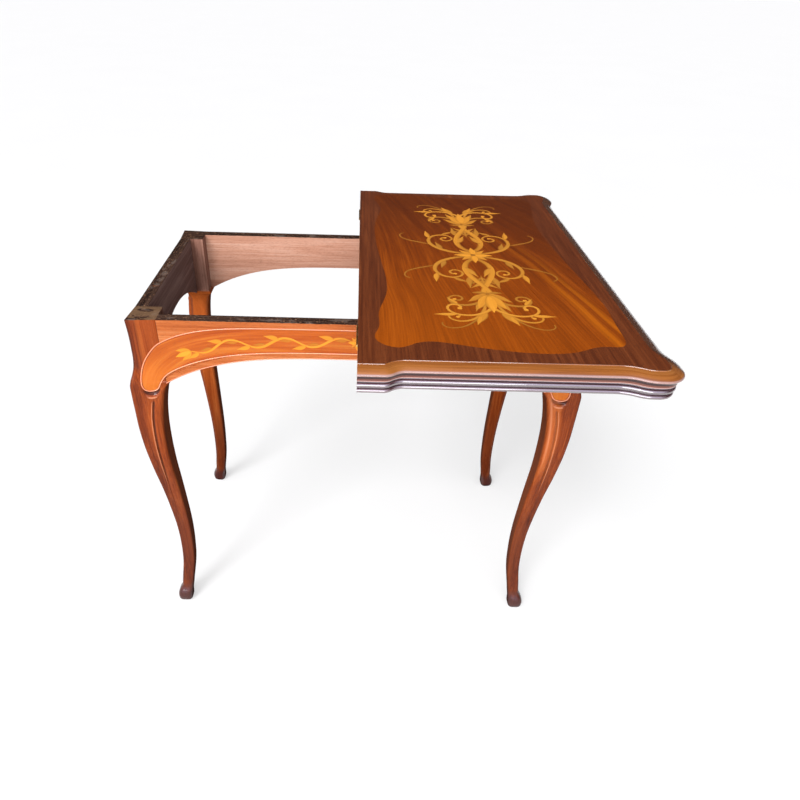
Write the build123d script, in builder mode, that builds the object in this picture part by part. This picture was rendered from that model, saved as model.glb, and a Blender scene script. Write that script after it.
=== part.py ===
from build123d import *
import os
from math import acos, degrees, radians, sin

# Fold-over games table on cabriole legs, standing as it does while it is being opened: the folded top
# has been turned a quarter on its pivot, so its hinge line lies across the middle of the frame.
# The origin is the middle of the frame at the floor. X runs along the frame, Y to its back, Z up.

os.makedirs("parts", exist_ok=True)

# Frame, measured over the outer corners of the legs
frame_length = 762.0
frame_depth = 412.0
frame_height = 718.5

# Leaves: the length runs front to back while the top is turned
leaf_length = 810.0
leaf_width = 450.0
leaf_thickness = 20.35

# Running clearances
slide_clearance = 0.3
fold_gap = 0.3
seam_gap = 0.3
tenon_clearance = 0.1
bore_clearance = 0.06
fit_clearance = 0.2
cut_overrun = 1.0

# Legs, each cut from a square blank whose size is also the width of the post
leg_post = 50.0
foot_width = 31.0
foot_height = 36.0
foot_inset = 7.0

# Rails
rail_setback = 4.0
rail_thickness = 20.0
rail_end_depth = 125.5
long_rail_depth = 68.5
short_rail_depth = 75.5
long_arch_power = 3.6
short_arch_power = 2.0
tenon_thickness = 8.0
tenon_length = 28.0
tenon_shoulder = 16.0

# Veneered panel let into the outer face of each rail: its upper edge is measured down from the top of
# the frame and its lower edge up from the arch, in the middle and at the ends of the rail.
panel_thickness = 1.0
panel_sink = 0.8
panel_top_middle = 11.5
panel_top_end = 46.5
panel_low_middle = 15.5
panel_low_end = 11.0
panel_top_power = 6.0
panel_low_power = 3.4

# Bearer that carries the pivot
bearer_width = 40.0
bearer_thickness = 22.0
bearer_housing = 10.0
bearer_screw_spacing = 22.0
bearer_screw_head = 4.5
bearer_screw_shank = 2.3
bearer_screw_length = 45.0

# Pivot: a round plate let into the lower leaf, and a bolt that turns in a bush in the bearer
plate_radius = 30.0
plate_thickness = 4.0
plate_screw_circle = 21.5
plate_screw_count = 4
plate_screw_head = 4.0
plate_screw_shank = 2.0
plate_screw_length = 14.0
bolt_radius = 6.0
bolt_head_radius = 13.0
bolt_head_thickness = 3.0
bolt_tail = 4.0
bolt_chamfer = 0.8
bush_radius = 9.0
bush_flange_radius = 14.0
bush_flange_thickness = 1.5
washer_radius = 14.0
washer_thickness = 2.0
nut_width = 19.0
nut_height = 10.0

# Stop that meets the bearer at both ends of the quarter turn
stop_radius = 6.5
stop_drop = 15.0
stop_seat = 12.0
stop_chamfer = 1.5

# Plan outline of a leaf: square ears at the hinge edge, round ears at the outer corners
hinge_ear_flat = 36.0
hinge_ear_step = 11.5
hinge_ear_radius = 24.0
corner_radius = 34.0
quarter_turn = 90
corner_flat = 6.0
corner_step = 11.5
corner_step_radius = 60.0

# Layers of a leaf
lipping_width = 20.0
veneer_thickness = 1.0
facing_thickness = 1.0
baize_thickness = 0.8
playing_border = 36.0
seam_border = 25.0
baize_corner = 10.0

# Butt hinges let into the hinge edges
hinge_length = 60.0
hinge_from_end = 130.0
knuckle_count = 5
knuckle_gap = 0.2
barrel_radius = 2.2
barrel_relief = 0.5
hinge_pin_radius = 1.1
hinge_plate_height = 9.0
hinge_plate_thickness = 1.5
hinge_screw_drop = 5.6
hinge_screw_spacing = 22.0
hinge_screw_count = 3
hinge_screw_head = 2.0
hinge_screw_shank = 1.2
hinge_screw_length = 12.0

# Heights and places that follow
leaf_under = frame_height + slide_clearance
lower_top = leaf_under + leaf_thickness
fold_axis = lower_top + fold_gap / 2
upper_under = lower_top + fold_gap
table_top = upper_under + leaf_thickness
hinge_edge = seam_gap / 2
leaf_edge = hinge_edge + leaf_width
pivot = (hinge_edge + leaf_width / 2) / 2
long_half_span = frame_length / 2 - leg_post
short_half_span = frame_depth / 2 - leg_post
post_bottom = frame_height - rail_end_depth
bearer_under = frame_height - bearer_thickness
bearer_length = frame_depth - 2 * (rail_setback + rail_thickness - bearer_housing)
hinge_places = [side * (leaf_length / 2 - hinge_from_end) for side in (-1, 1)]

# Post of a leg: share of the way up, then how far in its outer corner lies as a share of the post
post_shares = [(0.0, -0.16), (0.21, -0.07), (0.45, 0.0), (0.77, 0.02), (1.0, 0.0)]

# Leg below the post: height as a share of the post's bottom, then as shares of the post how far in
# from the frame's corner lie the outer corner, the inner corner and the inner end of an outer face
cabriole_shares = [
    (0.952, -0.235, 0.86, -0.03),
    (0.911, -0.245, 0.75, -0.12),
    (0.843, -0.22, 0.68, -0.18),
    (0.775, -0.16, 0.65, -0.16),
    (0.675, -0.04, 0.66, -0.04),
    (0.573, 0.1, 0.71, 0.1),
    (0.472, 0.21, 0.755, 0.21),
    (0.371, 0.285, 0.785, 0.285),
    (0.270, 0.285, 0.765, 0.285),
    (0.185, 0.22, 0.69, 0.22),
    (0.118, 0.12, 0.585, 0.12),
    (0.073, 0.04, 0.5, 0.04),
    (0.042, 0, 0.44, 0),
]

# Foot: share of its height, share of its width, and the corner's radius as a share of that width
foot_shares = [(0.0, 0.58), (0.13, 0.86), (0.4, 1.0), (0.7, 1.0), (0.9, 0.84), (1.0, 0.6)]
foot_roundness_share = 0.38

# Points at which an arch or a panel edge is worked out, as shares of the half span
arch_shares = [-1.0, -0.93, -0.83, -0.68, -0.5, -0.25, 0.0, 0.25, 0.5, 0.68, 0.83, 0.93, 1.0]

# Light field on the top: share of the leaf's width from the hinge edge, and of its length from the front
field_shares = [
    (0.060, 0.132), (0.082, 0.088), (0.135, 0.079), (0.190, 0.096), (0.330, 0.092), (0.470, 0.075),
    (0.600, 0.069), (0.700, 0.079), (0.785, 0.098), (0.845, 0.100), (0.872, 0.160), (0.880, 0.240),
    (0.862, 0.380), (0.832, 0.550), (0.820, 0.690), (0.832, 0.780), (0.862, 0.880), (0.850, 0.925),
    (0.780, 0.930), (0.640, 0.922), (0.500, 0.922), (0.330, 0.940), (0.140, 0.945), (0.085, 0.935),
    (0.075, 0.890), (0.100, 0.830), (0.082, 0.750), (0.067, 0.640), (0.080, 0.510), (0.102, 0.380),
    (0.098, 0.280), (0.070, 0.200),
]

# Edge mouldings: each point is a share of the lipping's width in from the edge, and of the leaf's
# thickness up. The straight run goes round the back of the lipping; each round stretch has a start,
# a middle and an end.
lower_run_shares = [(0.42, 0.02), (0.45, 0), (1, 0), (1, 1), (0.30, 1), (0.30, 0.93), (0.43, 0.915)]
lower_round_shares = [
    [(0.43, 0.915), (0.47, 0.82), (0.40, 0.73)],
    [(0.40, 0.73), (0.27, 0.545), (0.40, 0.36)],
    [(0.47, 0.34), (0.49, 0.28), (0.42, 0.235)],
    [(0.42, 0.235), (0.33, 0.125), (0.42, 0.02)],
]
upper_run_shares = [(0.93, 0.95), (0.945, 0.99), (0.96, 1), (1, 1), (1, 0), (0.28, 0), (0.28, 0.20)]
upper_round_shares = [
    [(0.28, 0.20), (0.22, 0.40), (0.08, 0.50)],
    [(0.08, 0.50), (0, 0.58), (0.05, 0.67)],
    [(0.05, 0.67), (0.48, 0.86), (0.93, 0.95)],
]

# Slot of a screw, as shares of its head's radius
slot_width_share = 0.22
slot_depth_share = 0.18


def save(builder, label):
    """Label a finished piece and write it under its own name."""
    builder.part.label = label
    export_step(builder.part, f"parts/{label}.step")


def screw(head, shank, length, slotted=True):
    """Countersunk screw with the face of its head at the origin and its shank down Z."""
    with BuildPart() as body:
        with BuildSketch(Plane.XZ):
            with BuildLine():
                Polyline((0, 0), (head, 0), (shank, shank - head), (shank, 2 * shank - length),
                         (0, -length), close=True)
            make_face()
        revolve(axis=Axis.Z)
        if slotted:
            with BuildSketch():
                Rectangle(2 * head, slot_width_share * head)
            extrude(amount=-slot_depth_share * head, mode=Mode.SUBTRACT)
    return body.part


# Legs

def leg_section(side_x, side_y, height, outer, inner, face):
    """Four-cornered section of a leg, from insets measured in from the frame's corner."""
    def corner(inset_x, inset_y):
        return side_x * (frame_length / 2 - inset_x), side_y * (frame_depth / 2 - inset_y)

    with BuildSketch(Plane.XY.offset(height)) as section:
        with BuildLine():
            Polyline(corner(outer, outer), corner(inner, face), corner(inner, inner), corner(face, inner),
                     close=True)
        make_face()
    return section.sketch


def make_leg(side_x, side_y, label):
    """Cabriole leg: mortised post, swelling knee, slim ankle and rolled foot."""
    slot_width = tenon_thickness + 2 * tenon_clearance
    slot_length = tenon_length + tenon_clearance
    tenon_middle = rail_setback + rail_thickness / 2
    along_x = (long_half_span + slot_length / 2, frame_depth / 2 - tenon_middle)
    along_y = (frame_length / 2 - tenon_middle, short_half_span + slot_length / 2)
    with BuildPart() as leg:
        for share, outer in post_shares:
            height = post_bottom + share * rail_end_depth
            add(leg_section(side_x, side_y, height, outer * leg_post, leg_post, rail_setback))
        loft()
        add(leg_section(side_x, side_y, post_bottom, post_shares[0][1] * leg_post, leg_post, rail_setback))
        for share, *inset_shares in cabriole_shares:
            insets = [inset_share * leg_post for inset_share in inset_shares]
            add(leg_section(side_x, side_y, share * post_bottom, *insets))
        loft()
        for height_share, width_share in foot_shares:
            width = foot_width * width_share
            with BuildSketch(Plane.XY.offset(foot_height * height_share)):
                with Locations((side_x * (frame_length / 2 - foot_inset),
                                side_y * (frame_depth / 2 - foot_inset))):
                    RectangleRounded(width, width, width * foot_roundness_share)
        loft()
        for place, size in ((along_x, (slot_length, slot_width)), (along_y, (slot_width, slot_length))):
            with BuildSketch(Plane.XY.offset(post_bottom + tenon_shoulder - tenon_clearance)):
                with Locations((side_x * place[0], side_y * place[1])):
                    Rectangle(*size)
            extrude(amount=rail_end_depth - 2 * (tenon_shoulder - tenon_clearance), mode=Mode.SUBTRACT)
    save(leg, label)


# Rails

def bearer_screw_places():
    """Heads of the bearer's screws, two over the housing at each end."""
    reach = bearer_length / 2 - bearer_housing / 2
    return [(pivot + side_x * bearer_screw_spacing / 2, side_y * reach, frame_height)
            for side_x in (-1, 1) for side_y in (-1, 1)]


def side_plane(inward, distance):
    """Upright plane at a distance from the middle that faces the middle, with its own Y axis up."""
    return Plane(origin=inward * -distance, x_dir=Vector(0, 0, 1).cross(inward), z_dir=inward)


def curve_points(half_span, middle, end, power):
    """Points of a curve that leaves its middle height by the half span's share to a power."""
    return [(share * half_span, middle + (end - middle) * abs(share) ** power) for share in arch_shares]


def make_rail(side, inward, distance, half_span, depth, power):
    """Arched rail with a tenon at each end, and the veneered panel let into its outer face."""
    face_plane = side_plane(inward, distance - rail_setback)
    crown = frame_height - depth
    with BuildPart() as rail:
        with BuildSketch(face_plane):
            with BuildLine():
                Polyline((-half_span, post_bottom), (-half_span, frame_height),
                         (half_span, frame_height), (half_span, post_bottom))
                Spline(*curve_points(half_span, crown, post_bottom, power))
            make_face()
        extrude(amount=rail_thickness)
        with BuildSketch(face_plane.offset((rail_thickness - tenon_thickness) / 2)):
            with Locations((0, post_bottom + rail_end_depth / 2)):
                Rectangle(2 * (half_span + tenon_length), rail_end_depth - 2 * tenon_shoulder)
            Rectangle(2 * half_span, 2 * frame_height, mode=Mode.SUBTRACT)
        extrude(amount=tenon_thickness)
        with BuildSketch(face_plane) as panel_face:
            with BuildLine():
                upper = Spline(*curve_points(half_span, frame_height - panel_top_middle,
                                             frame_height - panel_top_end, panel_top_power))
                lower = Spline(*curve_points(half_span, crown + panel_low_middle,
                                             post_bottom + panel_low_end, panel_low_power))
                Line(upper @ 0, lower @ 0)
                Line(upper @ 1, lower @ 1)
            make_face()
        extrude(amount=panel_sink + panel_thickness, mode=Mode.SUBTRACT)
        with Locations((pivot, 0, bearer_under + bearer_thickness / 2)):
            Box(bearer_width, bearer_length, bearer_thickness, mode=Mode.SUBTRACT)
        with Locations(*bearer_screw_places()):
            add(screw(bearer_screw_head, bearer_screw_shank, bearer_screw_length, slotted=False),
                mode=Mode.SUBTRACT)
    save(rail, f"rail_{side}")
    with BuildPart() as panel:
        with BuildSketch(face_plane.offset(panel_sink)):
            add(panel_face.sketch_local)
        extrude(amount=panel_thickness)
    save(panel, f"panel_{side}")


# Bearer and pivot

def make_bearer():
    """Cross rail housed in the front and back rails, with its screws and its flanged bush."""
    with BuildPart() as bearer:
        with Locations((pivot, 0, bearer_under + bearer_thickness / 2)):
            Box(bearer_width, bearer_length, bearer_thickness)
        with Locations((pivot, pivot, bearer_under + bearer_thickness / 2)):
            Cylinder(bush_radius, bearer_thickness, mode=Mode.SUBTRACT)
        with Locations(*bearer_screw_places()):
            add(screw(bearer_screw_head, bearer_screw_shank, bearer_screw_length, slotted=False),
                mode=Mode.SUBTRACT)
    save(bearer, "bearer")
    with BuildPart() as screws:
        with Locations(*bearer_screw_places()):
            add(screw(bearer_screw_head, bearer_screw_shank, bearer_screw_length))
    save(screws, "bearer_screws")
    with BuildPart() as bush:
        with BuildSketch(Plane.XY.offset(bearer_under)):
            with Locations((pivot, pivot)):
                Circle(bush_radius)
        extrude(amount=bearer_thickness)
        with BuildSketch(Plane.XY.offset(bearer_under)):
            with Locations((pivot, pivot)):
                Circle(bush_flange_radius)
        extrude(amount=-bush_flange_thickness)
        with Locations((pivot, pivot, bearer_under)):
            Cylinder(bolt_radius + bore_clearance, 2 * bearer_thickness + cut_overrun, mode=Mode.SUBTRACT)
    save(bush, "pivot_bush")


def disc(radius, low, high):
    """Round blank on the pivot's axis between two heights."""
    with BuildPart() as blank:
        with BuildSketch(Plane.XY.offset(low)):
            with Locations((pivot, pivot)):
                Circle(radius)
        extrude(amount=high - low)
    return blank.part


def plate_screw_places():
    """Heads of the screws that hold the pivot plate, seen from below."""
    face = Plane(origin=(pivot, pivot, leaf_under), z_dir=(0, 0, -1))
    ring = PolarLocations(plate_screw_circle, plate_screw_count).local_locations
    return [face.location * place for place in ring]


def make_pivot():
    """Plate, bolt, washer and nut that turn with the lower leaf, and the stop beside them."""
    plate_top = leaf_under + plate_thickness
    washer_top = bearer_under - bush_flange_thickness - slide_clearance
    nut_top = washer_top - washer_thickness
    nut_under = nut_top - nut_height
    with BuildPart() as plate:
        add(disc(plate_radius, leaf_under, plate_top))
        add(disc(bolt_radius, leaf_under, plate_top), mode=Mode.SUBTRACT)
        with Locations(*plate_screw_places()):
            add(screw(plate_screw_head, plate_screw_shank, plate_screw_length, slotted=False),
                mode=Mode.SUBTRACT)
    save(plate, "pivot_plate")
    with BuildPart() as screws:
        with Locations(*plate_screw_places()):
            add(screw(plate_screw_head, plate_screw_shank, plate_screw_length))
    save(screws, "pivot_plate_screws")
    with BuildPart() as bolt:
        add(disc(bolt_head_radius, plate_top, plate_top + bolt_head_thickness))
        add(disc(bolt_radius, nut_under - bolt_tail, plate_top))
        chamfer(bolt.faces().sort_by(Axis.Z)[0].edges(), bolt_chamfer)
    save(bolt, "pivot_bolt")
    with BuildPart() as washer:
        add(disc(washer_radius, nut_top, washer_top))
        add(disc(bolt_radius + bore_clearance, nut_top, washer_top), mode=Mode.SUBTRACT)
    save(washer, "pivot_washer")
    with BuildPart() as nut:
        with BuildSketch(Plane.XY.offset(nut_under)):
            with Locations((pivot, pivot)):
                RegularPolygon(nut_width / 2, 6, major_radius=False)
                Circle(bolt_radius, mode=Mode.SUBTRACT)
        extrude(amount=nut_height)
    save(nut, "pivot_nut")
    with BuildPart() as stop:
        add(stop_blank())
        chamfer(stop.faces().sort_by(Axis.Z)[0].edges(), stop_chamfer)
    save(stop, "turn_stop")


def stop_blank():
    """Peg let into the underside of the lower leaf, beside the bearer at both ends of the turn."""
    place = pivot + bearer_width / 2 + stop_radius + fit_clearance
    with BuildPart() as blank:
        with BuildSketch(Plane.XY.offset(leaf_under - stop_drop)):
            with Locations((place, place)):
                Circle(stop_radius)
        extrude(amount=stop_drop + stop_seat)
    return blank.part


# Hinges

def hinge_screw_places(side):
    """Heads of the hinge screws in the hinge edge of the lower leaf, side -1, or of the upper, side 1."""
    middle = (hinge_screw_count - 1) / 2
    spread = [(index - middle) * hinge_screw_spacing for index in range(hinge_screw_count)]
    height = fold_axis + side * hinge_screw_drop
    return [Plane(origin=(hinge_edge, place + shift, height), z_dir=(-1, 0, 0)).location
            for place in hinge_places for shift in spread]


def barrel(place, radius, length):
    """Cylinder along the fold axis, centred at a place along Y."""
    with BuildPart() as round_bar:
        with Locations(Plane(origin=(0, place, fold_axis), z_dir=(0, 1, 0)).location):
            Cylinder(radius, length)
    return round_bar.part


def hinge_blank(side, place):
    """Flat plate of one hinge half, lying in the hinge edge of its leaf."""
    with BuildPart() as blank:
        with Locations((hinge_edge + hinge_plate_thickness / 2, place,
                        fold_axis + side * hinge_plate_height / 2)):
            Box(hinge_plate_thickness, hinge_length, hinge_plate_height)
    return blank.part


def hinge_beds(side):
    """Wood cut away from a leaf for the plates, barrels and screws of both hinges."""
    with BuildPart() as beds:
        for place in hinge_places:
            add(hinge_blank(side, place))
            add(barrel(place, barrel_radius + barrel_relief, hinge_length + 2 * barrel_relief))
        with Locations(*hinge_screw_places(side)):
            add(screw(hinge_screw_head, hinge_screw_shank, hinge_screw_length, slotted=False))
    return beds.part


def make_hinge_half(side, first_knuckle, name):
    """Half of both hinges: plates with every other knuckle, cleared for the knuckles of the other half."""
    pitch = hinge_length / knuckle_count
    with BuildPart() as half:
        for place in hinge_places:
            add(hinge_blank(side, place))
            middles = [place + (index - (knuckle_count - 1) / 2) * pitch for index in range(knuckle_count)]
            for middle in middles[1 - first_knuckle::2]:
                add(barrel(middle, barrel_radius + knuckle_gap, pitch), mode=Mode.SUBTRACT)
            for middle in middles[first_knuckle::2]:
                add(barrel(middle, barrel_radius, pitch - knuckle_gap))
            add(barrel(place, hinge_pin_radius + bore_clearance, hinge_length + cut_overrun),
                mode=Mode.SUBTRACT)
        with Locations(*hinge_screw_places(side)):
            add(screw(hinge_screw_head, hinge_screw_shank, hinge_screw_length, slotted=False),
                mode=Mode.SUBTRACT)
    save(half, f"hinge_plates_{name}")
    with BuildPart() as screws:
        with Locations(*hinge_screw_places(side)):
            add(screw(hinge_screw_head, hinge_screw_shank, hinge_screw_length))
    save(screws, f"hinge_screws_{name}")


def make_hinge_pins():
    """Pins of both hinges."""
    with BuildPart() as pins:
        for place in hinge_places:
            add(barrel(place, hinge_pin_radius, hinge_length))
    save(pins, "hinge_pins")


# Leaves

def step_turns(radius, depth):
    """Two equal arcs that step an edge sideways by a depth: radius and angle of each, inwards first."""
    angle = degrees(acos(1 - depth / (2 * radius)))
    return [(radius, angle), (radius, -angle)]


def step_run(radius, depth):
    """How far along the edge such a step reaches."""
    return 2 * radius * sin(radians(step_turns(radius, depth)[0][1]))


def leaf_edge_moves():
    """Straights, as lengths, and arcs, as radius and angle, from the front hinge ear to the back one."""
    hinge_step = step_turns(hinge_ear_radius, hinge_ear_step)
    ear_step = step_turns(corner_step_radius, corner_step)
    ear_run = step_run(corner_step_radius, corner_step)
    front_straight = (leaf_width - hinge_ear_flat - step_run(hinge_ear_radius, hinge_ear_step) - ear_run
                      - corner_flat - corner_radius)
    side_straight = leaf_length - 2 * (corner_radius + corner_flat + ear_run)
    half = [hinge_ear_flat, *hinge_step, front_straight, *reversed(ear_step), corner_flat,
            (corner_radius, quarter_turn), corner_flat, *ear_step]
    return [*half, side_straight, *reversed(half)]


def draw_leaf_edge(inset):
    """Moulded edges of a leaf as one run of lines and arcs, moved in by an inset."""
    moves = leaf_edge_moves()
    start = Vector(hinge_edge, inset - leaf_length / 2)
    run = Line(start, start + Vector(moves[0], 0))
    for move in moves[1:]:
        if isinstance(move, tuple):
            radius, angle = move
            radius -= inset if angle > 0 else -inset
            run = JernArc(run @ 1, run % 1, radius, angle)
        else:
            run = Line(run @ 1, run @ 1 + (run % 1) * move)
    return start, run @ 1


def leaf_face(level, inset):
    """Plan of a leaf at a height, its moulded edges moved in by an inset."""
    with BuildSketch(Plane.XY.offset(level)) as face:
        with BuildLine():
            ends = draw_leaf_edge(inset)
            Line(*ends)
        make_face()
    return face.sketch


def edge_profile(level, run_shares, round_shares):
    """Section of a lipping, standing at the hinge edge with its outer side towards the front."""
    def point(inset_share, height_share):
        return inset_share * lipping_width, height_share * leaf_thickness

    run = [point(*shares) for shares in run_shares]
    with BuildSketch(Plane(origin=(hinge_edge, -leaf_length / 2, level), x_dir=(0, 1, 0),
                           z_dir=(1, 0, 0))) as face:
        with BuildLine():
            Polyline(*run)
            end = run[-1]
            for shares in round_shares:
                arc = [point(*share) for share in shares]
                if arc[0] != end:
                    Line(end, arc[0])
                ThreePointArc(*arc)
                end = arc[-1]
        make_face()
    return face.sketch


def mitre_plane(side_y):
    """Upright plane across a round corner ear, facing away from the hinge ear beside it along the edge."""
    centre = (leaf_edge - corner_radius, side_y * (leaf_length / 2 - corner_radius), 0)
    return Plane(origin=centre, z_dir=(1, -side_y, 0))


def make_lipping(profile, name):
    """Moulded lipping of a leaf in three mitred lengths."""
    with BuildLine() as edge:
        draw_leaf_edge(0)
    with BuildPart() as whole:
        add(profile)
        sweep(path=edge.wire())
    cuts = {
        "front": [(mitre_plane(-1), Keep.BOTTOM)],
        "side": [(mitre_plane(-1), Keep.TOP), (mitre_plane(1), Keep.TOP)],
        "back": [(mitre_plane(1), Keep.BOTTOM)],
    }
    for place, planes in cuts.items():
        with BuildPart() as length:
            add(whole.part)
            for plane, keep in planes:
                split(bisect_by=plane, keep=keep)
        save(length, f"{name}_lipping_{place}")


def baize_face(level):
    """Plan of the baize, set in from the borders of the playing side."""
    low_x = hinge_edge + seam_border
    high_x = leaf_edge - lipping_width - playing_border
    half_y = leaf_length / 2 - lipping_width - playing_border
    with BuildSketch(Plane.XY.offset(level)) as face:
        with Locations(((low_x + high_x) / 2, 0)):
            RectangleRounded(high_x - low_x, 2 * half_y, baize_corner)
    return face.sketch


def make_playing_side(side, face_level, name):
    """Veneered border and baize on the side of a leaf that is folded inwards."""
    with BuildPart() as border:
        add(leaf_face(face_level, lipping_width))
        extrude(amount=side * facing_thickness)
        add(baize_face(face_level))
        extrude(amount=side * facing_thickness, mode=Mode.SUBTRACT)
        add(hinge_beds(-side), mode=Mode.SUBTRACT)
    save(border, f"{name}_playing_border")
    with BuildPart() as baize:
        add(baize_face(face_level + side * (facing_thickness - baize_thickness)))
        extrude(amount=side * baize_thickness)
    save(baize, f"{name}_baize")


def make_lower_leaf():
    """Core of the lower leaf, bedded for the pivot, the stop and the hinges, and its finish layers."""
    with BuildPart() as core:
        add(leaf_face(leaf_under, lipping_width))
        extrude(amount=leaf_thickness - facing_thickness)
        add(disc(plate_radius + fit_clearance, leaf_under - cut_overrun, leaf_under + plate_thickness),
            mode=Mode.SUBTRACT)
        add(disc(bolt_head_radius + fit_clearance, leaf_under,
                 leaf_under + plate_thickness + bolt_head_thickness + fit_clearance), mode=Mode.SUBTRACT)
        with Locations(*plate_screw_places()):
            add(screw(plate_screw_head, plate_screw_shank, plate_screw_length, slotted=False),
                mode=Mode.SUBTRACT)
        add(stop_blank(), mode=Mode.SUBTRACT)
        add(hinge_beds(-1), mode=Mode.SUBTRACT)
    save(core, "lower_leaf_core")
    make_playing_side(1, lower_top - facing_thickness, "lower")
    make_lipping(edge_profile(leaf_under, lower_run_shares, lower_round_shares), "lower")


def make_upper_leaf():
    """Core of the upper leaf, bedded for the hinges, with the veneered top and the baize below."""
    with BuildPart() as core:
        add(leaf_face(upper_under + facing_thickness, lipping_width))
        extrude(amount=leaf_thickness - facing_thickness - veneer_thickness)
        add(hinge_beds(1), mode=Mode.SUBTRACT)
    save(core, "upper_leaf_core")
    make_playing_side(-1, upper_under + facing_thickness, "upper")
    make_lipping(edge_profile(upper_under, upper_run_shares, upper_round_shares), "upper")
    with BuildPart() as field:
        with BuildSketch(Plane.XY.offset(table_top - veneer_thickness)) as field_face:
            with BuildLine():
                Spline(*[(hinge_edge + share_x * leaf_width, (share_y - 0.5) * leaf_length)
                         for share_x, share_y in field_shares], periodic=True)
            make_face()
        extrude(amount=veneer_thickness)
    save(field, "top_field")
    with BuildPart() as border:
        add(leaf_face(table_top - veneer_thickness, lipping_width))
        extrude(amount=veneer_thickness)
        add(field.part, mode=Mode.SUBTRACT)
    save(border, "top_border")


for depth_name, side_y in (("front", -1), ("back", 1)):
    for width_name, side_x in (("left", -1), ("right", 1)):
        make_leg(side_x, side_y, f"leg_{depth_name}_{width_name}")
for side, inward in (("front", Vector(0, 1, 0)), ("back", Vector(0, -1, 0))):
    make_rail(side, inward, frame_depth / 2, long_half_span, long_rail_depth, long_arch_power)
for side, inward in (("left", Vector(1, 0, 0)), ("right", Vector(-1, 0, 0))):
    make_rail(side, inward, frame_length / 2, short_half_span, short_rail_depth, short_arch_power)
make_bearer()
make_pivot()
make_hinge_half(-1, 0, "lower")
make_hinge_half(1, 1, "upper")
make_hinge_pins()
make_lower_leaf()
make_upper_leaf()
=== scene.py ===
"""Looks of a fold-over games table on cabriole legs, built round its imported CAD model.

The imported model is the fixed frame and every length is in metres. Legs, panels, mouldings and inlay are
surfaces worked out on grids of two parameters; the other pieces keep their CAD meshes and get a finish.
"""

import logging
import math
from dataclasses import dataclass, field
from enum import Enum
from typing import Any, Callable, NamedTuple, Sequence

import bpy
import numpy as np
from mathutils import Matrix, Vector


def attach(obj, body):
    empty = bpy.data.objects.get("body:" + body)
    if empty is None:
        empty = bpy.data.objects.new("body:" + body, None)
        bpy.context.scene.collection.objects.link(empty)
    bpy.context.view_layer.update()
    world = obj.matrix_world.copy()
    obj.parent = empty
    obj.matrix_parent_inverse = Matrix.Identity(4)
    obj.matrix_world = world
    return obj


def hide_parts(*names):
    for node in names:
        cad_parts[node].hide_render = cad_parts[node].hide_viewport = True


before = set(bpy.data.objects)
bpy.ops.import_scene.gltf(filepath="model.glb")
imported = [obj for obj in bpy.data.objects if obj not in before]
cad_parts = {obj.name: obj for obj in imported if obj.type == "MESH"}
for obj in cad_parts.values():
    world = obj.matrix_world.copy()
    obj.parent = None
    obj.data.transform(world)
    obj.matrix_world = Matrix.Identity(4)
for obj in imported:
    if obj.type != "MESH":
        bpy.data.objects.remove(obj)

log = logging.getLogger("games_table")
Colour = tuple[float, float, float, float]
Row = tuple[float, ...]
BLACK, WHITE = (0, 0, 0, 1), (1, 1, 1, 1)


def rgb(red: float, green: float, blue: float) -> Colour:
    """Turn a screen colour of 0 to 255 into the linear colour that shaders take, by the sRGB curve.

    Args:
        red: Red of 0 to 255.
        green: Green of 0 to 255.
        blue: Blue of 0 to 255.

    Returns:
        Linear colour with full opacity.
    """
    shares = np.array([red, green, blue]) / 255
    linear = np.where(shares <= 0.04045, shares / 12.92, ((shares + 0.055) / 1.055) ** 2.4)
    return (float(linear[0]), float(linear[1]), float(linear[2]), 1.0)


def darker(colour: Colour, share: float) -> Colour:
    """A share of a colour's light."""
    return tuple(share * part for part in colour[:3]) + (1.0,)


# Curves and grids


def flow(stations: Sequence[Row] | np.ndarray, at: np.ndarray) -> np.ndarray:
    """Carry a table of stations on as smooth curves.

    Between two stations each column is the cubic that starts and ends with the slope the neighbours
    give, so that the curve meets every station without a kink.

    Args:
        stations: Rows of a rising key and the values there.
        at: Keys to work the values out at, in any array shape.

    Returns:
        Values at those keys, in one more axis at the end.
    """
    table = np.asarray(stations, float)
    keys, values = table[:, 0], table[:, 1:]
    slopes = np.gradient(values, keys, axis=0)
    wanted = np.clip(np.ravel(at), keys[0], keys[-1])
    low = np.clip(np.searchsorted(keys, wanted, side="right") - 1, 0, len(keys) - 2)
    span = (keys[low + 1] - keys[low])[:, None]
    t = (wanted - keys[low])[:, None] / span
    made = (
        (1 + 2 * t) * (1 - t) ** 2 * values[low]
        + t * (1 - t) ** 2 * span * slopes[low]
        + t**2 * (3 - 2 * t) * values[low + 1]
        - t**2 * (1 - t) * span * slopes[low + 1]
    )
    return made.reshape(np.shape(at) + (values.shape[1],))


def distances(points: np.ndarray) -> np.ndarray:
    """Distance of each point along a chain of points, nought at the first."""
    return np.concatenate([[0], np.cumsum(np.linalg.norm(np.diff(points, axis=0), axis=1))])


def evenly(points: np.ndarray, count: int, fineness: int = 12) -> np.ndarray:
    """Draw a smooth line through points and divide it into equal lengths.

    The key of each point is its distance along the chain of points; the smooth line is measured in
    small steps, and places are read off at even shares of its length.

    Args:
        points: Points of the line, one row each.
        count: How many points to give back.
        fineness: Small steps to one of these points.

    Returns:
        Points at equal distances along the smooth line.
    """
    keys = distances(points)
    fine = flow(np.column_stack([keys, points]), np.linspace(0, keys[-1], fineness * count))
    run = distances(fine)
    wanted = np.linspace(0, run[-1], count)
    return np.column_stack([np.interp(wanted, run, fine[:, axis]) for axis in range(points.shape[1])])


def hump(at: np.ndarray, middle: float | np.ndarray, half_width: float) -> np.ndarray:
    """Height of a smooth hump: one at its middle, nothing from half its width away on."""
    share = np.clip(np.abs(at - middle) / half_width, 0, 1)
    return (1 - share**2) ** 2


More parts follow.
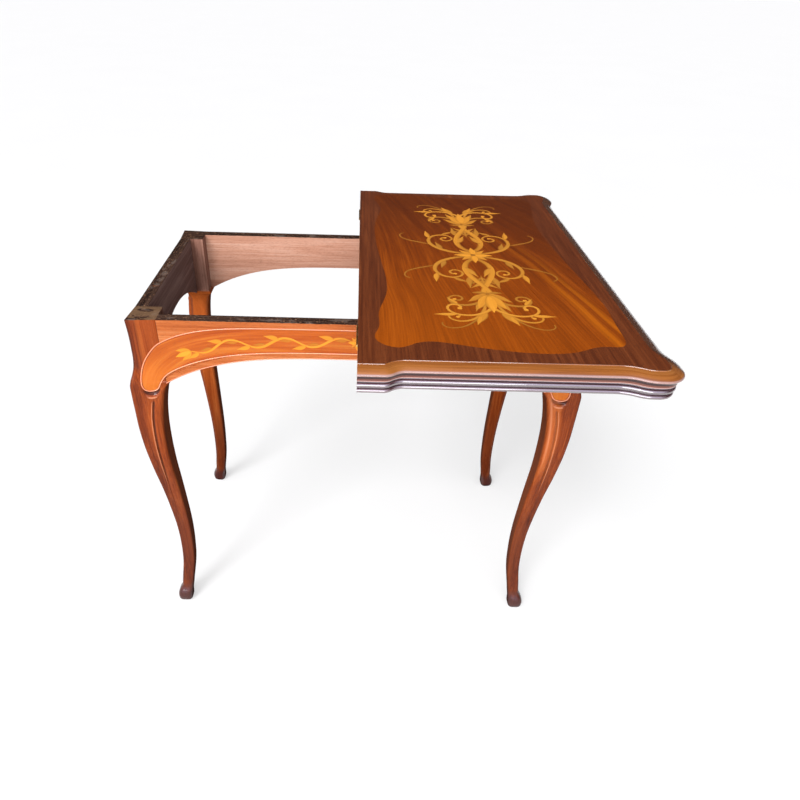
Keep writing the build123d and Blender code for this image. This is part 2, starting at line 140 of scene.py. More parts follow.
def rise(at: np.ndarray, start: float, end: float) -> np.ndarray:
    """Share of a smooth step from nothing at its start to one at its end."""
    share = np.clip((at - start) / (end - start), 0, 1)
    return share**2 * (3 - 2 * share)


@dataclass
class Solid:
    """Closed body on a grid: each row is a ring of its section, and the rows follow one another.

    points holds rows by ring points by three. along and across are the UV map's two values in
    metres, one column more than the ring has points, and one row more where the rows close too.
    marks are numbers stored at the points for the finish.
    """

    points: np.ndarray
    along: np.ndarray
    across: np.ndarray
    looped: bool = False
    marks: dict[str, np.ndarray] = field(default_factory=dict)

    def faces(self) -> tuple[list[list[int]], np.ndarray]:
        """Join neighbouring grid points into faces, with the two ends closed, all facing outwards.

        The body's volume is the sum over its faces of the pyramids that they make with the origin.
        Where that comes out negative the faces look inwards, so each is turned round.

        Returns:
            Faces as lists of point numbers, and the UV values of their corners in the same order.
        """
        rows, ring = self.points.shape[:2]
        row = np.arange(rows if self.looped else rows - 1)[:, None, None]
        column = np.arange(ring)[None, :, None]
        up = np.array([0, 0, 1, 1])
        right = np.array([0, 1, 1, 0])
        quads = ((row + up) % rows * ring + (column + right) % ring).reshape(-1, 4)
        corner = ((row + up), (column + right))
        uv = np.stack([self.along[corner], self.across[corner]], -1).reshape(-1, 2)
        flat = self.points.reshape(-1, 3)
        first, second, third, fourth = (flat[quads[:, place]] for place in range(4))
        volume = np.sum(np.cross(first, second) * third) + np.sum(np.cross(first, third) * fourth)
        inward = volume < 0
        if inward:
            quads = quads[:, ::-1]
            uv = uv.reshape(-1, 4, 2)[:, ::-1].reshape(-1, 2)
        faces = quads.tolist()
        if self.looped:
            return faces, uv
        ends = [np.arange(ring)[::-1], np.arange(ring) + (rows - 1) * ring]
        for end in ends:
            loop = end[::-1] if inward else end
            spread = np.ptp(flat[loop], axis=0)
            axes = np.sort(np.argsort(spread)[1:])
            faces.append(loop.tolist())
            uv = np.vstack([uv, flat[loop][:, axes]])
        return faces, uv


def make_piece(
    name: str, solids: Sequence[Solid], material: bpy.types.Material, crease: float
) -> bpy.types.Object:
    """Put closed bodies into one mesh object at the origin.

    Args:
        name: Name of the piece.
        solids: Bodies of the piece.
        material: Finish of the piece.
        crease: Angle in degrees past which an edge stays sharp.

    Returns:
        The new object.
    """
    points, faces, uvs = [], [], []
    start = 0
    for solid in solids:
        flat = solid.points.reshape(-1, 3)
        own_faces, own_uv = solid.faces()
        points.append(flat)
        faces += [[number + start for number in face] for face in own_faces]
        uvs.append(own_uv)
        start += len(flat)
    mesh = bpy.data.meshes.new(name)
    mesh.from_pydata(np.vstack(points).tolist(), [], faces)
    layer = mesh.uv_layers.new(name="grain")
    layer.data.foreach_set("uv", np.vstack(uvs).ravel().astype(np.float32))
    for mark in solids[0].marks:
        values = np.concatenate([np.ravel(solid.marks[mark]) for solid in solids])
        attribute = mesh.attributes.new(mark, "FLOAT", "POINT")
        attribute.data.foreach_set("value", values.astype(np.float32))
    mesh.polygons.foreach_set("use_smooth", np.ones(len(mesh.polygons), bool))
    mesh.set_sharp_from_angle(angle=math.radians(crease))
    mesh.materials.append(material)
    piece = bpy.data.objects.new(name, mesh)
    bpy.context.scene.collection.objects.link(piece)
    log.info("%s: %d faces", name, len(faces))
    return piece


# Shader recipes


def operator(operation: str, turned: bool = False) -> Callable[["Value", Any], "Value"]:
    """Method of a value that adds a Math node on it and another number.

    Args:
        operation: What the node works out.
        turned: Whether the other number comes first.

    Returns:
        The method.
    """

    def method(value: "Value", other: Any) -> "Value":
        """Add the node with the two numbers in their order."""
        first, second = (other, value) if turned else (value, other)
        return value.math(operation, first, second)

    return method


class Value:
    """Number on a socket. Arithmetic on it adds Math nodes to the same recipe."""

    def __init__(self, recipe: "Recipe", socket: bpy.types.NodeSocket) -> None:
        """Keep the recipe and the socket."""
        self.recipe = recipe
        self.socket = socket

    def math(self, operation: str, first: Any, second: Any = 0.0) -> "Value":
        """Add a Math node with this operation on the two numbers."""
        made = self.recipe.node("ShaderNodeMath", {"operation": operation}, {0: first, 1: second})
        return Value(self.recipe, made.outputs[0])

    __add__, __radd__ = operator("ADD"), operator("ADD", True)
    __sub__, __rsub__ = operator("SUBTRACT"), operator("SUBTRACT", True)
    __mul__, __rmul__ = operator("MULTIPLY"), operator("MULTIPLY", True)
    __truediv__, __rtruediv__ = operator("DIVIDE"), operator("DIVIDE", True)
    larger = operator("MAXIMUM")

    def __abs__(self) -> "Value":
        """Size without its sign."""
        return self.math("ABSOLUTE", self)

    def step(self, start: float, end: float) -> "Value":
        """Share of a smooth step that starts at one value and is done at the other."""
        made = self.recipe.node(
            "ShaderNodeMapRange",
            {"interpolation_type": "SMOOTHSTEP"},
            {"Value": self, "From Min": start, "From Max": end},
        )
        return Value(self.recipe, made.outputs[0])


class Layer(NamedTuple):
    """What one finish gives at a point: its colour, its roughness and its relief."""

    colour: Any
    rough: Value
    relief: Value

    def painted(self, colour: Any) -> "Layer":
        """The same surface in another colour."""
        return self._replace(colour=colour)


class Recipe:
    """Node tree of one material."""

    def __init__(self, name: str) -> None:
        """Start an empty material.

        Args:
            name: Name of the material.
        """
        self.material = bpy.data.materials.new(name)
        self.material.use_nodes = True
        self.tree = self.material.node_tree
        self.tree.nodes.clear()

    @classmethod
    def of_tree(cls, tree: bpy.types.NodeTree) -> "Recipe":
        """Recipe for a node tree that exists already, emptied.

        Args:
            tree: The tree, such as a world's.

        Returns:
            The recipe.
        """
        recipe = cls.__new__(cls)
        recipe.material = None
        recipe.tree = tree
        tree.nodes.clear()
        return recipe

    def node(
        self, kind: str, settings: dict[str, Any] | None = None, sockets: dict[Any, Any] | None = None
    ) -> bpy.types.Node:
        """Add a node.

        Args:
            kind: Node type.
            settings: Its own settings, set first; stops are the places and colours of a ramp.
            sockets: Value or link of each input, by name or number.

        Returns:
            The new node.
        """
        made = self.tree.nodes.new(kind)
        for name, value in (settings or {}).items():
            if name == "stops":
                ramp = made.color_ramp
                while len(ramp.elements) < len(value):
                    ramp.elements.new(1.0)
                for element, (place, colour) in zip(ramp.elements, value):
                    element.position = place
                    element.color = colour
            else:
                setattr(made, name, value)
        for name, value in (sockets or {}).items():
            source = value.socket if isinstance(value, Value) else value
            if isinstance(source, bpy.types.NodeSocket):
                self.tree.links.new(source, made.inputs[name])
            else:
                made.inputs[name].default_value = source
        return made

    def place(self) -> bpy.types.NodeSocket:
        """Object coordinates, in metres of the shared frame."""
        return self.node("ShaderNodeTexCoord").outputs["Object"]

    def grain_map(self) -> bpy.types.NodeSocket:
        """UV map of a worked-out surface: metres along the grain, then across."""
        return self.node("ShaderNodeUVMap", {"uv_map": "grain"}).outputs[0]

    def mark(self, name: str) -> Value:
        """Number stored on the mesh under this name."""
        made = self.node("ShaderNodeAttribute", {"attribute_type": "GEOMETRY", "attribute_name": name})
        return Value(self, made.outputs["Fac"])

    def parts(self, point: bpy.types.NodeSocket) -> tuple[Value, Value, Value]:
        """The three coordinates of a point."""
        made = self.node("ShaderNodeSeparateXYZ", None, {0: point})
        return tuple(Value(self, socket) for socket in made.outputs)

    def point(self, x: Any, y: Any, z: Any) -> bpy.types.NodeSocket:
        """Point made of three numbers."""
        return self.node("ShaderNodeCombineXYZ", None, {0: x, 1: y, 2: z}).outputs[0]

    def turned(self, point: bpy.types.NodeSocket, angles: Row) -> bpy.types.NodeSocket:
        """Point after the pattern is turned by angles in degrees about X, Y and Z."""
        radians = tuple(math.radians(angle) for angle in angles)
        return self.node("ShaderNodeMapping", None, {"Vector": point, "Rotation": radians}).outputs[0]

    def noise(
        self, point: Any, scale: float | Row, detail: float = 2.0, seed: float = 0.0, twist: float = 0.0,
        rough: float = 0.5,
    ) -> Value:
        """Cloudy noise between nought and one, stretched by its scale on each axis.

        Args:
            point: Where it is read.
            scale: Clouds per metre, one number for all axes or one for each.
            detail: How many finer layers it has.
            seed: Shift that gives each use its own clouds.
            twist: How far it is swirled.
            rough: Strength of the finer layers.

        Returns:
            The noise.
        """
        scales = scale if isinstance(scale, tuple) else (scale,) * 3
        shift = (seed, seed * 1.7, -seed)
        mapped = self.node("ShaderNodeMapping", None, {"Vector": point, "Location": shift, "Scale": scales})
        clouds = {"Scale": 1.0, "Detail": detail, "Roughness": rough, "Distortion": twist}
        made = self.node("ShaderNodeTexNoise", None, {"Vector": mapped.outputs[0], **clouds})
        return Value(self, made.outputs[0])

    def mix(self, share: Any, low: Any, high: Any) -> bpy.types.NodeSocket:
        """Colour mixed from two: the first at a share of nought, the second at one."""
        made = self.node("ShaderNodeMix", {"data_type": "RGBA"}, {0: share, 6: low, 7: high})
        return made.outputs[2]

    def tint(self, colour: Any, *coats: tuple[Any, Any]) -> bpy.types.NodeSocket:
        """Lay colours one after another over a first one.

        Args:
            colour: The colour at the bottom.
            coats: Share and colour of each coat.

        Returns:
            The colour that shows.
        """
        for share, coat in coats:
            colour = self.mix(share, colour, coat)
        return colour

    def ramp(self, share: Any, *stops: tuple[float, Colour]) -> bpy.types.NodeSocket:
        """Colour read off a ramp of places and colours."""
        return self.node("ShaderNodeValToRGB", {"stops": stops}, {0: share}).outputs[0]

    def over(self, share: Value, low: Layer, high: Layer) -> Layer:
        """One finish laid over another where the share says so.

        Args:
            share: Nought where the first shows, one where the second does.
            low: First finish.
            high: Second finish.

        Returns:
            The joined finish.
        """
        rough = low.rough + (high.rough - low.rough) * share
        relief = low.relief + (high.relief - low.relief) * share
        return Layer(self.mix(share, low.colour, high.colour), rough, relief)

    def finish(
        self, layer: Layer, depth: float = 0.0002, coat: "Value | float" = 0.0, shine: float = 0.5,
        metal: float = 0.0, coat_rough: float = 0.1, sheen: float = 0.0, coat_index: float = 1.5,
        glow: Any = None,
    ) -> bpy.types.Material:
        """Close the recipe with the shader that shows a finish.

        Args:
            layer: Colour, roughness and relief.
            depth: Depth of the relief in metres.
            coat: Weight of the polish over it.
            shine: Strength of its own reflection, half for plain lacquer.
            metal: One for metal.
            coat_rough: Roughness of the polish.
            sheen: Weight of a fibre's soft edge light.
            coat_index: Refractive index of the polish.
            glow: Light that it gives off, if any.

        Returns:
            The material.
        """
        relief = {"Strength": 1.0, "Distance": depth, "Height": layer.relief}
        sockets = {
            "Base Color": layer.colour,
            "Roughness": layer.rough,
            "Normal": self.node("ShaderNodeBump", None, relief).outputs[0],
            "Metallic": metal,
            "Coat Weight": coat,
            "Coat Roughness": coat_rough,
            "Coat IOR": coat_index,
            "Specular IOR Level": shine,
            "Sheen Weight": sheen,
        }
        if glow is not None:
            sockets |= {"Emission Color": glow, "Emission Strength": 1.0}
        shader = self.node("ShaderNodeBsdfPrincipled", None, sockets)
        self.node("ShaderNodeOutputMaterial", None, {"Surface": shader.outputs[0]})
        return self.material


# Finishes


class Run(Enum):
    """Which way the grain of a CAD piece runs: the turn that lays it along the pattern's X axis."""

    ALONG_X = (0.0, 0.0, 0.0)
    ALONG_Y = (0.0, 0.0, -90.0)
    ALONG_Z = (0.0, 90.0, 0.0)


@dataclass(frozen=True)
class Wood:
    """Polished or bare wood: broad figure, streaks and fibres along the grain, and open pores.

    band and streak are widths in metres; figure is the bands' weight against the streaks'; pores is
    how dark the pores are; wear is how far the light colour comes through in clouds.
    """

    dark: Colour
    middle: Colour
    light: Colour
    figure: float = 0.45
    band: float = 0.030
    streak: float = 0.0035
    pores: float = 0.35
    rough: float = 0.34
    wear: float = 0.12
    contrast: float = 1.0
    seed: float = 0.0

    def lay(self, recipe: Recipe, point: Any) -> Layer:
        """Work the wood out at a point whose X runs along the grain.

        Broad bands, streaks and fibres are noise drawn out along X, added by weight and read off a
        ramp from dark to light. Pores are the peaks of a fine noise in short dashes.

        Args:
            recipe: Recipe that takes the nodes.
            point: Where it is worked out.

        Returns:
            Colour, roughness and relief.
        """
        bands = recipe.noise(point, (2.2, 1 / self.band, 1 / self.band), 3, self.seed, 0.5)
        streaks = recipe.noise(point, (7, 1 / self.streak, 1 / self.streak), 3, self.seed + 3.1, 0.15, 0.6)
        fibres = recipe.noise(point, (38, 1900, 1900), 2, self.seed + 5.3)
        cloud = recipe.noise(point, (9, 13, 13), 2, self.seed + 8.9)
        dashes = recipe.noise(point, (170, 2100, 2100), 1, self.seed + 9.7).step(0.60, 0.72)
        shade = bands * self.figure + streaks * (0.86 - self.figure) + fibres * 0.14
        reach = 0.16 / self.contrast
        colour = recipe.tint(
            recipe.ramp(shade, (0.5 - reach, self.dark), (0.5, self.middle), (0.5 + reach, self.light)),
            (dashes * self.pores, darker(self.dark, 0.35)),
            ((cloud - 0.5) * (2 * self.wear), self.light),
        )
        rough = self.rough + (cloud - 0.5) * 0.22 + (streaks - 0.5) * 0.12 + dashes * 0.1
        relief = fibres * 0.35 + streaks * 0.5 - dashes * 0.9
        return Layer(colour, rough, relief)


@dataclass(frozen=True)
class Metal:
    """Old metal: tarnish in soft clouds, fine rubbing marks and a few dark spots."""

    bright: Colour
    dull: Colour
    rough: float = 0.32
    seed: float = 0.0

    def material(self, name: str) -> bpy.types.Material:
        """Build the metal's material.

        Args:
            name: Name of the material.

        Returns:
            The material.
        """
        recipe = Recipe(name)
        point = recipe.place()
        cloud = recipe.noise(point, 90, 4, self.seed, 0.4)
        marks = recipe.noise(point, (140, 2600, 900), 2, self.seed + 2)
        spots = recipe.noise(point, 420, 2, self.seed + 4).step(0.62, 0.74)
        colour = recipe.tint(
            self.bright, (cloud.step(0.35, 0.68), self.dull), (spots * 0.6, darker(self.dull, 0.25))
        )
        rough = self.rough + (cloud - 0.5) * 0.35 + (marks - 0.5) * 0.15 + spots * 0.2
        return recipe.finish(Layer(colour, rough, marks * 0.5 - spots), 0.00006, metal=1.0)


LEG_OUTER = Wood(rgb(68, 24, 8), rgb(108, 44, 16), rgb(143, 67, 27), 0.45, 0.012, 0.0022, rough=0.36, seed=1)
LEG_INNER = Wood(rgb(99, 37, 8), rgb(133, 58, 19), rgb(158, 82, 35), 0.45, 0.014, 0.0025, rough=0.30, seed=2)
RAIL_POLISHED = Wood(rgb(134, 62, 24), rgb(164, 88, 44), rgb(181, 114, 70), 0.3, 0.02, rough=0.3, seed=3)
BARE_WOOD = Wood(rgb(135, 89, 71), rgb(168, 123, 103), rgb(185, 148, 131), 0.5, 0.03, rough=0.62, seed=4)
WORN_TOP = Wood(rgb(24, 16, 13), rgb(52, 36, 30), rgb(96, 72, 60), 0.5, 0.006, rough=0.75, wear=0.3, seed=5)
PANEL_WOOD = Wood(rgb(140, 56, 9), rgb(165, 79, 22), rgb(180, 109, 41), 0.5, 0.02, rough=0.28, seed=6)
BORDER_WOOD = Wood(rgb(70, 30, 14), rgb(93, 44, 20), rgb(116, 60, 30), 0.3, 0.014, rough=0.36, seed=7)
FIELD_WOOD = Wood(
    rgb(88, 34, 4), rgb(118, 50, 5), rgb(148, 71, 12), 0.34, 0.017, 0.0026, contrast=1.15, seed=8
)
UPPER_EDGE = Wood(
    rgb(103, 55, 20), rgb(134, 78, 32), rgb(153, 98, 47), 0.4, 0.016, pores=0.15, rough=0.3, seed=9
)
LOWER_EDGE = Wood(rgb(40, 21, 27), rgb(62, 34, 40), rgb(92, 56, 59), 0.4, 0.016, rough=0.3, seed=10)
CORE_WOOD = Wood(rgb(120, 76, 48), rgb(164, 114, 76), rgb(192, 146, 104), 0.5, 0.035, rough=0.6, seed=11)
INLAY_WOOD = Wood(
    rgb(169, 99, 19), rgb(192, 124, 31), rgb(213, 154, 65), 0.4, 0.01, pores=0.12, rough=0.32, seed=12
)
STRING_WOOD = Wood(rgb(196, 108, 72), rgb(222, 140, 102), rgb(240, 170, 134), band=0.012, pores=0.1, seed=13)
# Darker copy of the bare wood for the short rails' inside, as painted shade.
SHADED_INSIDE_SHORT = Wood(rgb(83, 61, 53), rgb(110, 84, 78), rgb(139, 113, 105), 0.5, 0.03, rough=0.7, seed=14)
INSIDE_POST = Wood(rgb(84, 56, 46), rgb(122, 86, 74), rgb(150, 112, 98), 0.5, 0.02, rough=0.7, seed=15)


def cad_wood(name: str, wood: Wood, run: Run, **closing: float) -> bpy.types.Material:
    """Wood on a CAD piece, read from its place in the shared frame.

    Args:
        name: Name of the material.
        wood: Finish.
        run: Which way the grain runs.
        closing: Options of the closing shader.

    Returns:
        The material.
    """
    recipe = Recipe(name)
    return recipe.finish(wood.lay(recipe, recipe.turned(recipe.place(), run.value)), **closing)


def worn_layer(recipe: Recipe, point: Any) -> Layer:
    """Top edges of the frame: dark old surface with pale chips, scuffs and remains of glue.

    Args:
        recipe: Recipe that takes the nodes.
        point: Where it is worked out.

    Returns:
        Colour, roughness and relief.
    """
    layer = WORN_TOP.lay(recipe, point)
    chips = recipe.noise(point, (260, 420, 200), 3, 16.0).step(0.60, 0.66)
    glue = recipe.noise(point, (34, 60, 20), 4, 17.0).step(0.58, 0.66)
    colour = recipe.tint(layer.colour, (glue * 0.3, rgb(128, 114, 106)), (chips * 0.6, rgb(150, 112, 86)))
    return Layer(colour, layer.rough + glue * 0.1, layer.relief - chips * 1.5)


# Frame: legs


@dataclass
class Leg:
    """Cabriole leg with a square post, a carved knee and a rolled toe.

    Insets are measured in from the frame's corner, the same way along both sides. A station gives a
    height and there the inset of the outer corner, of the inner corner, and of the inner end of an
    outer face. A cut gives a height and how much is cut off the sides at the outer corner, the inner
    corner and the other two. The ridge line gives heights and insets.
    """

    side_x: int
    side_y: int
    label: str
    half_length: float = 0.381
    half_depth: float = 0.206
    stations: tuple[Row, ...] = (
        (0.0, -0.002, 0.016, -0.002), (0.005, -0.0072, 0.02, -0.0072), (0.013, -0.0097, 0.022, -0.0097),
        (0.022, -0.0092, 0.0226, -0.0092), (0.03, -0.006, 0.0232, -0.006), (0.036, -0.002, 0.024, -0.002),
        (0.04, 0.0002, 0.0246, 0.0002), (0.052, 0.0022, 0.0262, 0.0022), (0.07, 0.0046, 0.0292, 0.0046),
        (0.11, 0.01, 0.035, 0.01), (0.16, 0.0126, 0.0384, 0.0126), (0.22, 0.0122, 0.0395, 0.0122),
        (0.28, 0.0082, 0.038, 0.0082), (0.34, 0.0026, 0.0358, 0.0026), (0.4, -0.0044, 0.0333, -0.0044),
        (0.46, -0.0098, 0.0328, -0.0098), (0.5, -0.0117, 0.034, -0.01), (0.54, -0.012, 0.0376, -0.0064),
        (0.562, -0.0121, 0.0412, -0.0026), (0.576, -0.0121, 0.0444, 0.0002),
        (0.585, -0.012, 0.0478, 0.0024), (0.5915, -0.0118, 0.052, 0.0039),
        (0.596, -0.0112, 0.0552, 0.0043), (0.5985, -0.0106, 0.05, 0.0042), (0.603, -0.0094, 0.05, 0.004),
        (0.612, -0.0058, 0.05, 0.004), (0.624, -0.002, 0.05, 0.004), (0.642, 0.0006, 0.05, 0.004),
        (0.66, 0.0012, 0.05, 0.004), (0.69, 0.0012, 0.05, 0.004), (0.7185, 0.0, 0.05, 0.004),
    )
    cuts: tuple[Row, ...] = (
        (0.0, 0.006, 0.006, 0.006), (0.006, 0.01, 0.01, 0.01), (0.014, 0.0132, 0.0132, 0.0132),
        (0.026, 0.013, 0.013, 0.013), (0.036, 0.0095, 0.0095, 0.0095), (0.07, 0.0062, 0.0058, 0.0062),
        (0.16, 0.005, 0.0045, 0.005), (0.3, 0.0052, 0.0052, 0.006), (0.46, 0.006, 0.0074, 0.008),
        (0.56, 0.0064, 0.0095, 0.0095), (0.58, 0.0064, 0.007, 0.009), (0.59, 0.006, 0.0016, 0.007),
        (0.598, 0.0054, 0.0006, 0.0012), (0.62, 0.0028, 0.0004, 0.0006), (0.7185, 0.0018, 0.0004, 0.0006),
    )
    ridge: tuple[Row, ...] = (
        (0.24, 0.024), (0.33, 0.019), (0.378, 0.017), (0.428, 0.0152), (0.492, 0.0155), (0.532, 0.0182),
        (0.567, 0.0235), (0.6, 0.025),
    )
    hollow_depth: float = 0.0017
    swell_height: float = 0.0008
    crescent_depth: float = 0.0040
    crescent_level: float = 0.5766
    crescent_inset: float = 0.0235
    lip_height: float = 0.0013
    top_bevel: float = 0.0005
    face_points: int = 44
    fillet_points: int = 9
    inner_points: int = 14

    def face_depth(self, inset: np.ndarray, height: np.ndarray) -> np.ndarray:
        """Depth of an outer face below the frame's side, before carving.

        The face is straight across from the outer corner's inset to that of its inner end.

        Args:
            inset: Distance in from the corner along the side.
            height: Height over the floor.

        Returns:
            Depth, taken no further than the face's inner end.
        """
        outer, inner, end = np.moveaxis(flow(self.stations, height), -1, 0)
        share = np.clip((inset - outer) / (inner - outer), 0, 1)
        return outer + (end - outer) * share

    def carving(self, inset: np.ndarray, height: np.ndarray) -> np.ndarray:
        """Depth of the carving on an outer face.

        A ridge line runs down the face. Beyond it the wood drops at once and comes back over a few
        millimetres; before it the wood swells a little. Over it a hollow crescent closes the panel's
        end, with a raised lip under it. Both face the same way on either side of the corner.

        Args:
            inset: Distance in from the corner along the side.
            height: Height over the floor.

        Returns:
            Depth below the plain face; negative where it stands proud.
        """
        strength = rise(height, 0.250, 0.430) * (1 - rise(height, 0.556, 0.566))
        past = inset - flow(self.ridge, height)[..., 0]
        hollow = rise(past, -0.0002, 0.0009) * (1 - rise(past, 0.0012, 0.0072))
        swell = rise(past, -0.0048, -0.0007) * (1 - rise(past, -0.0003, 0.0008))
        groove = strength * (self.hollow_depth * hollow - self.swell_height * swell)
        middle = self.crescent_level + 0.0040 * ((inset - self.crescent_inset) / 0.0125) ** 2
        crescent = self.crescent_depth * hump(inset, 0.0240, 0.0200) * hump(height, middle, 0.0070)
        lip = self.lip_height * hump(inset, self.crescent_inset, 0.0150)
        return groove + crescent - lip * hump(height, middle - 0.0092, 0.0034)

    def heights(self) -> np.ndarray:
        """Set the rings close together at the foot and the carved knee.

        Returns:
            Heights of the rings, from the floor up.
        """
        runs = ((0.0, 0.050, 34), (0.050, 0.340, 60), (0.340, 0.555, 74), (0.555, 0.600, 60))
        rings = [np.linspace(start, end, count, endpoint=False) for start, end, count in runs]
        return np.concatenate([*rings, np.linspace(0.600, 0.7178, 26), [0.7182, 0.7185]])

    def solid(self) -> Solid:
        """Work the leg out on its grid.

        Each ring goes round four corners. A corner is a parabola between two points cut off its
        sides, and the sides between are straight, with the outer ones pushed in by the carving. The
        UV map runs up the leg, and round it from the outer corner.

        Returns:
            The closed leg. Its marks are the share inwards across the outer faces, the distance past
            the ridge line in centimetres, the carving's depth in millimetres, and a one on the inner
            face that looks along Y.
        """
        height = self.heights()
        outer, inner, end = np.moveaxis(flow(self.stations, height), -1, 0)
        cut_outer, cut_end, cut_inner = np.moveaxis(flow(self.cuts, height), -1, 0)
        outer = outer + self.top_bevel * rise(height, 0.7180, 0.7185)
        corner = np.stack([
            np.stack([outer, outer], -1), np.stack([inner, end], -1),
            np.stack([inner, inner], -1), np.stack([end, inner], -1),
        ], 1)
        cut = np.stack([cut_outer, cut_end, cut_inner, cut_end], 1)
        side = np.roll(corner, -1, 1) - corner
        way = side / np.linalg.norm(side, axis=2, keepdims=True)
        leaving = corner + way * cut[..., None]
        meeting = np.roll(corner, -1, 1) - way * np.roll(cut, -1, 1)[..., None]
        turn = np.linspace(0, 1, self.fillet_points)[:, None, None]
        counts = (self.face_points, self.inner_points, self.inner_points, self.face_points)
        ring, on_face, along_y = [], [], []
        for number, count in enumerate(counts):
            start, stop = meeting[:, number - 1], leaving[:, number]
            fillet = (1 - turn) ** 2 * start + 2 * turn * (1 - turn) * corner[:, number] + turn**2 * stop
            share = np.linspace(0, 1, count + 2)[1:-1, None, None]
            ring += [fillet, leaving[:, number] * (1 - share) + meeting[:, number] * share]
            on_face += [np.zeros(self.fillet_points), np.full(count, float(number in (0, 3)))]
            along_y.append(np.full(self.fillet_points + count, float(number == 2)))
        section = np.moveaxis(np.concatenate(ring), 0, 1)
        inset_x, inset_y = section[..., 0], section[..., 1]
        level = np.broadcast_to(height[:, None], inset_x.shape)
        reach = np.maximum(inset_x, inset_y)
        depth = self.carving(reach, level) * np.concatenate(on_face)
        front = inset_x > inset_y
        inset_y = inset_y + np.where(front, depth, 0)
        inset_x = inset_x + np.where(front, 0, depth)
        points = np.stack([
            self.side_x * (self.half_length - inset_x), self.side_y * (self.half_depth - inset_y), level,
        ], -1)
        round_ring = np.concatenate([section, section[:, :1]], 1)
        girth = np.linalg.norm(np.diff(round_ring, axis=1), axis=2)
        across = np.concatenate([np.zeros((len(height), 1)), np.cumsum(girth, 1)], 1)
        along = np.broadcast_to(height[:, None], across.shape)
        marks = {
            "inward": (reach - outer[:, None]) / (inner - outer)[:, None],
            "past": (reach - flow(self.ridge, level)[..., 0]) * 100,
            "cut": depth * 1000,
            "inner_y": np.broadcast_to(np.concatenate(along_y), level.shape),
        }
        return Solid(points, along, across, marks=marks)

    def build(self, material: bpy.types.Material) -> bpy.types.Object:
        """Make the leg's piece in place of the CAD leg.

        Args:
            material: Finish of the legs.

        Returns:
            The piece.
        """
        piece = make_piece(f"carved_{self.label}", [self.solid()], material, 40)
        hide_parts(self.label)
        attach(piece, "frame")
        return piece


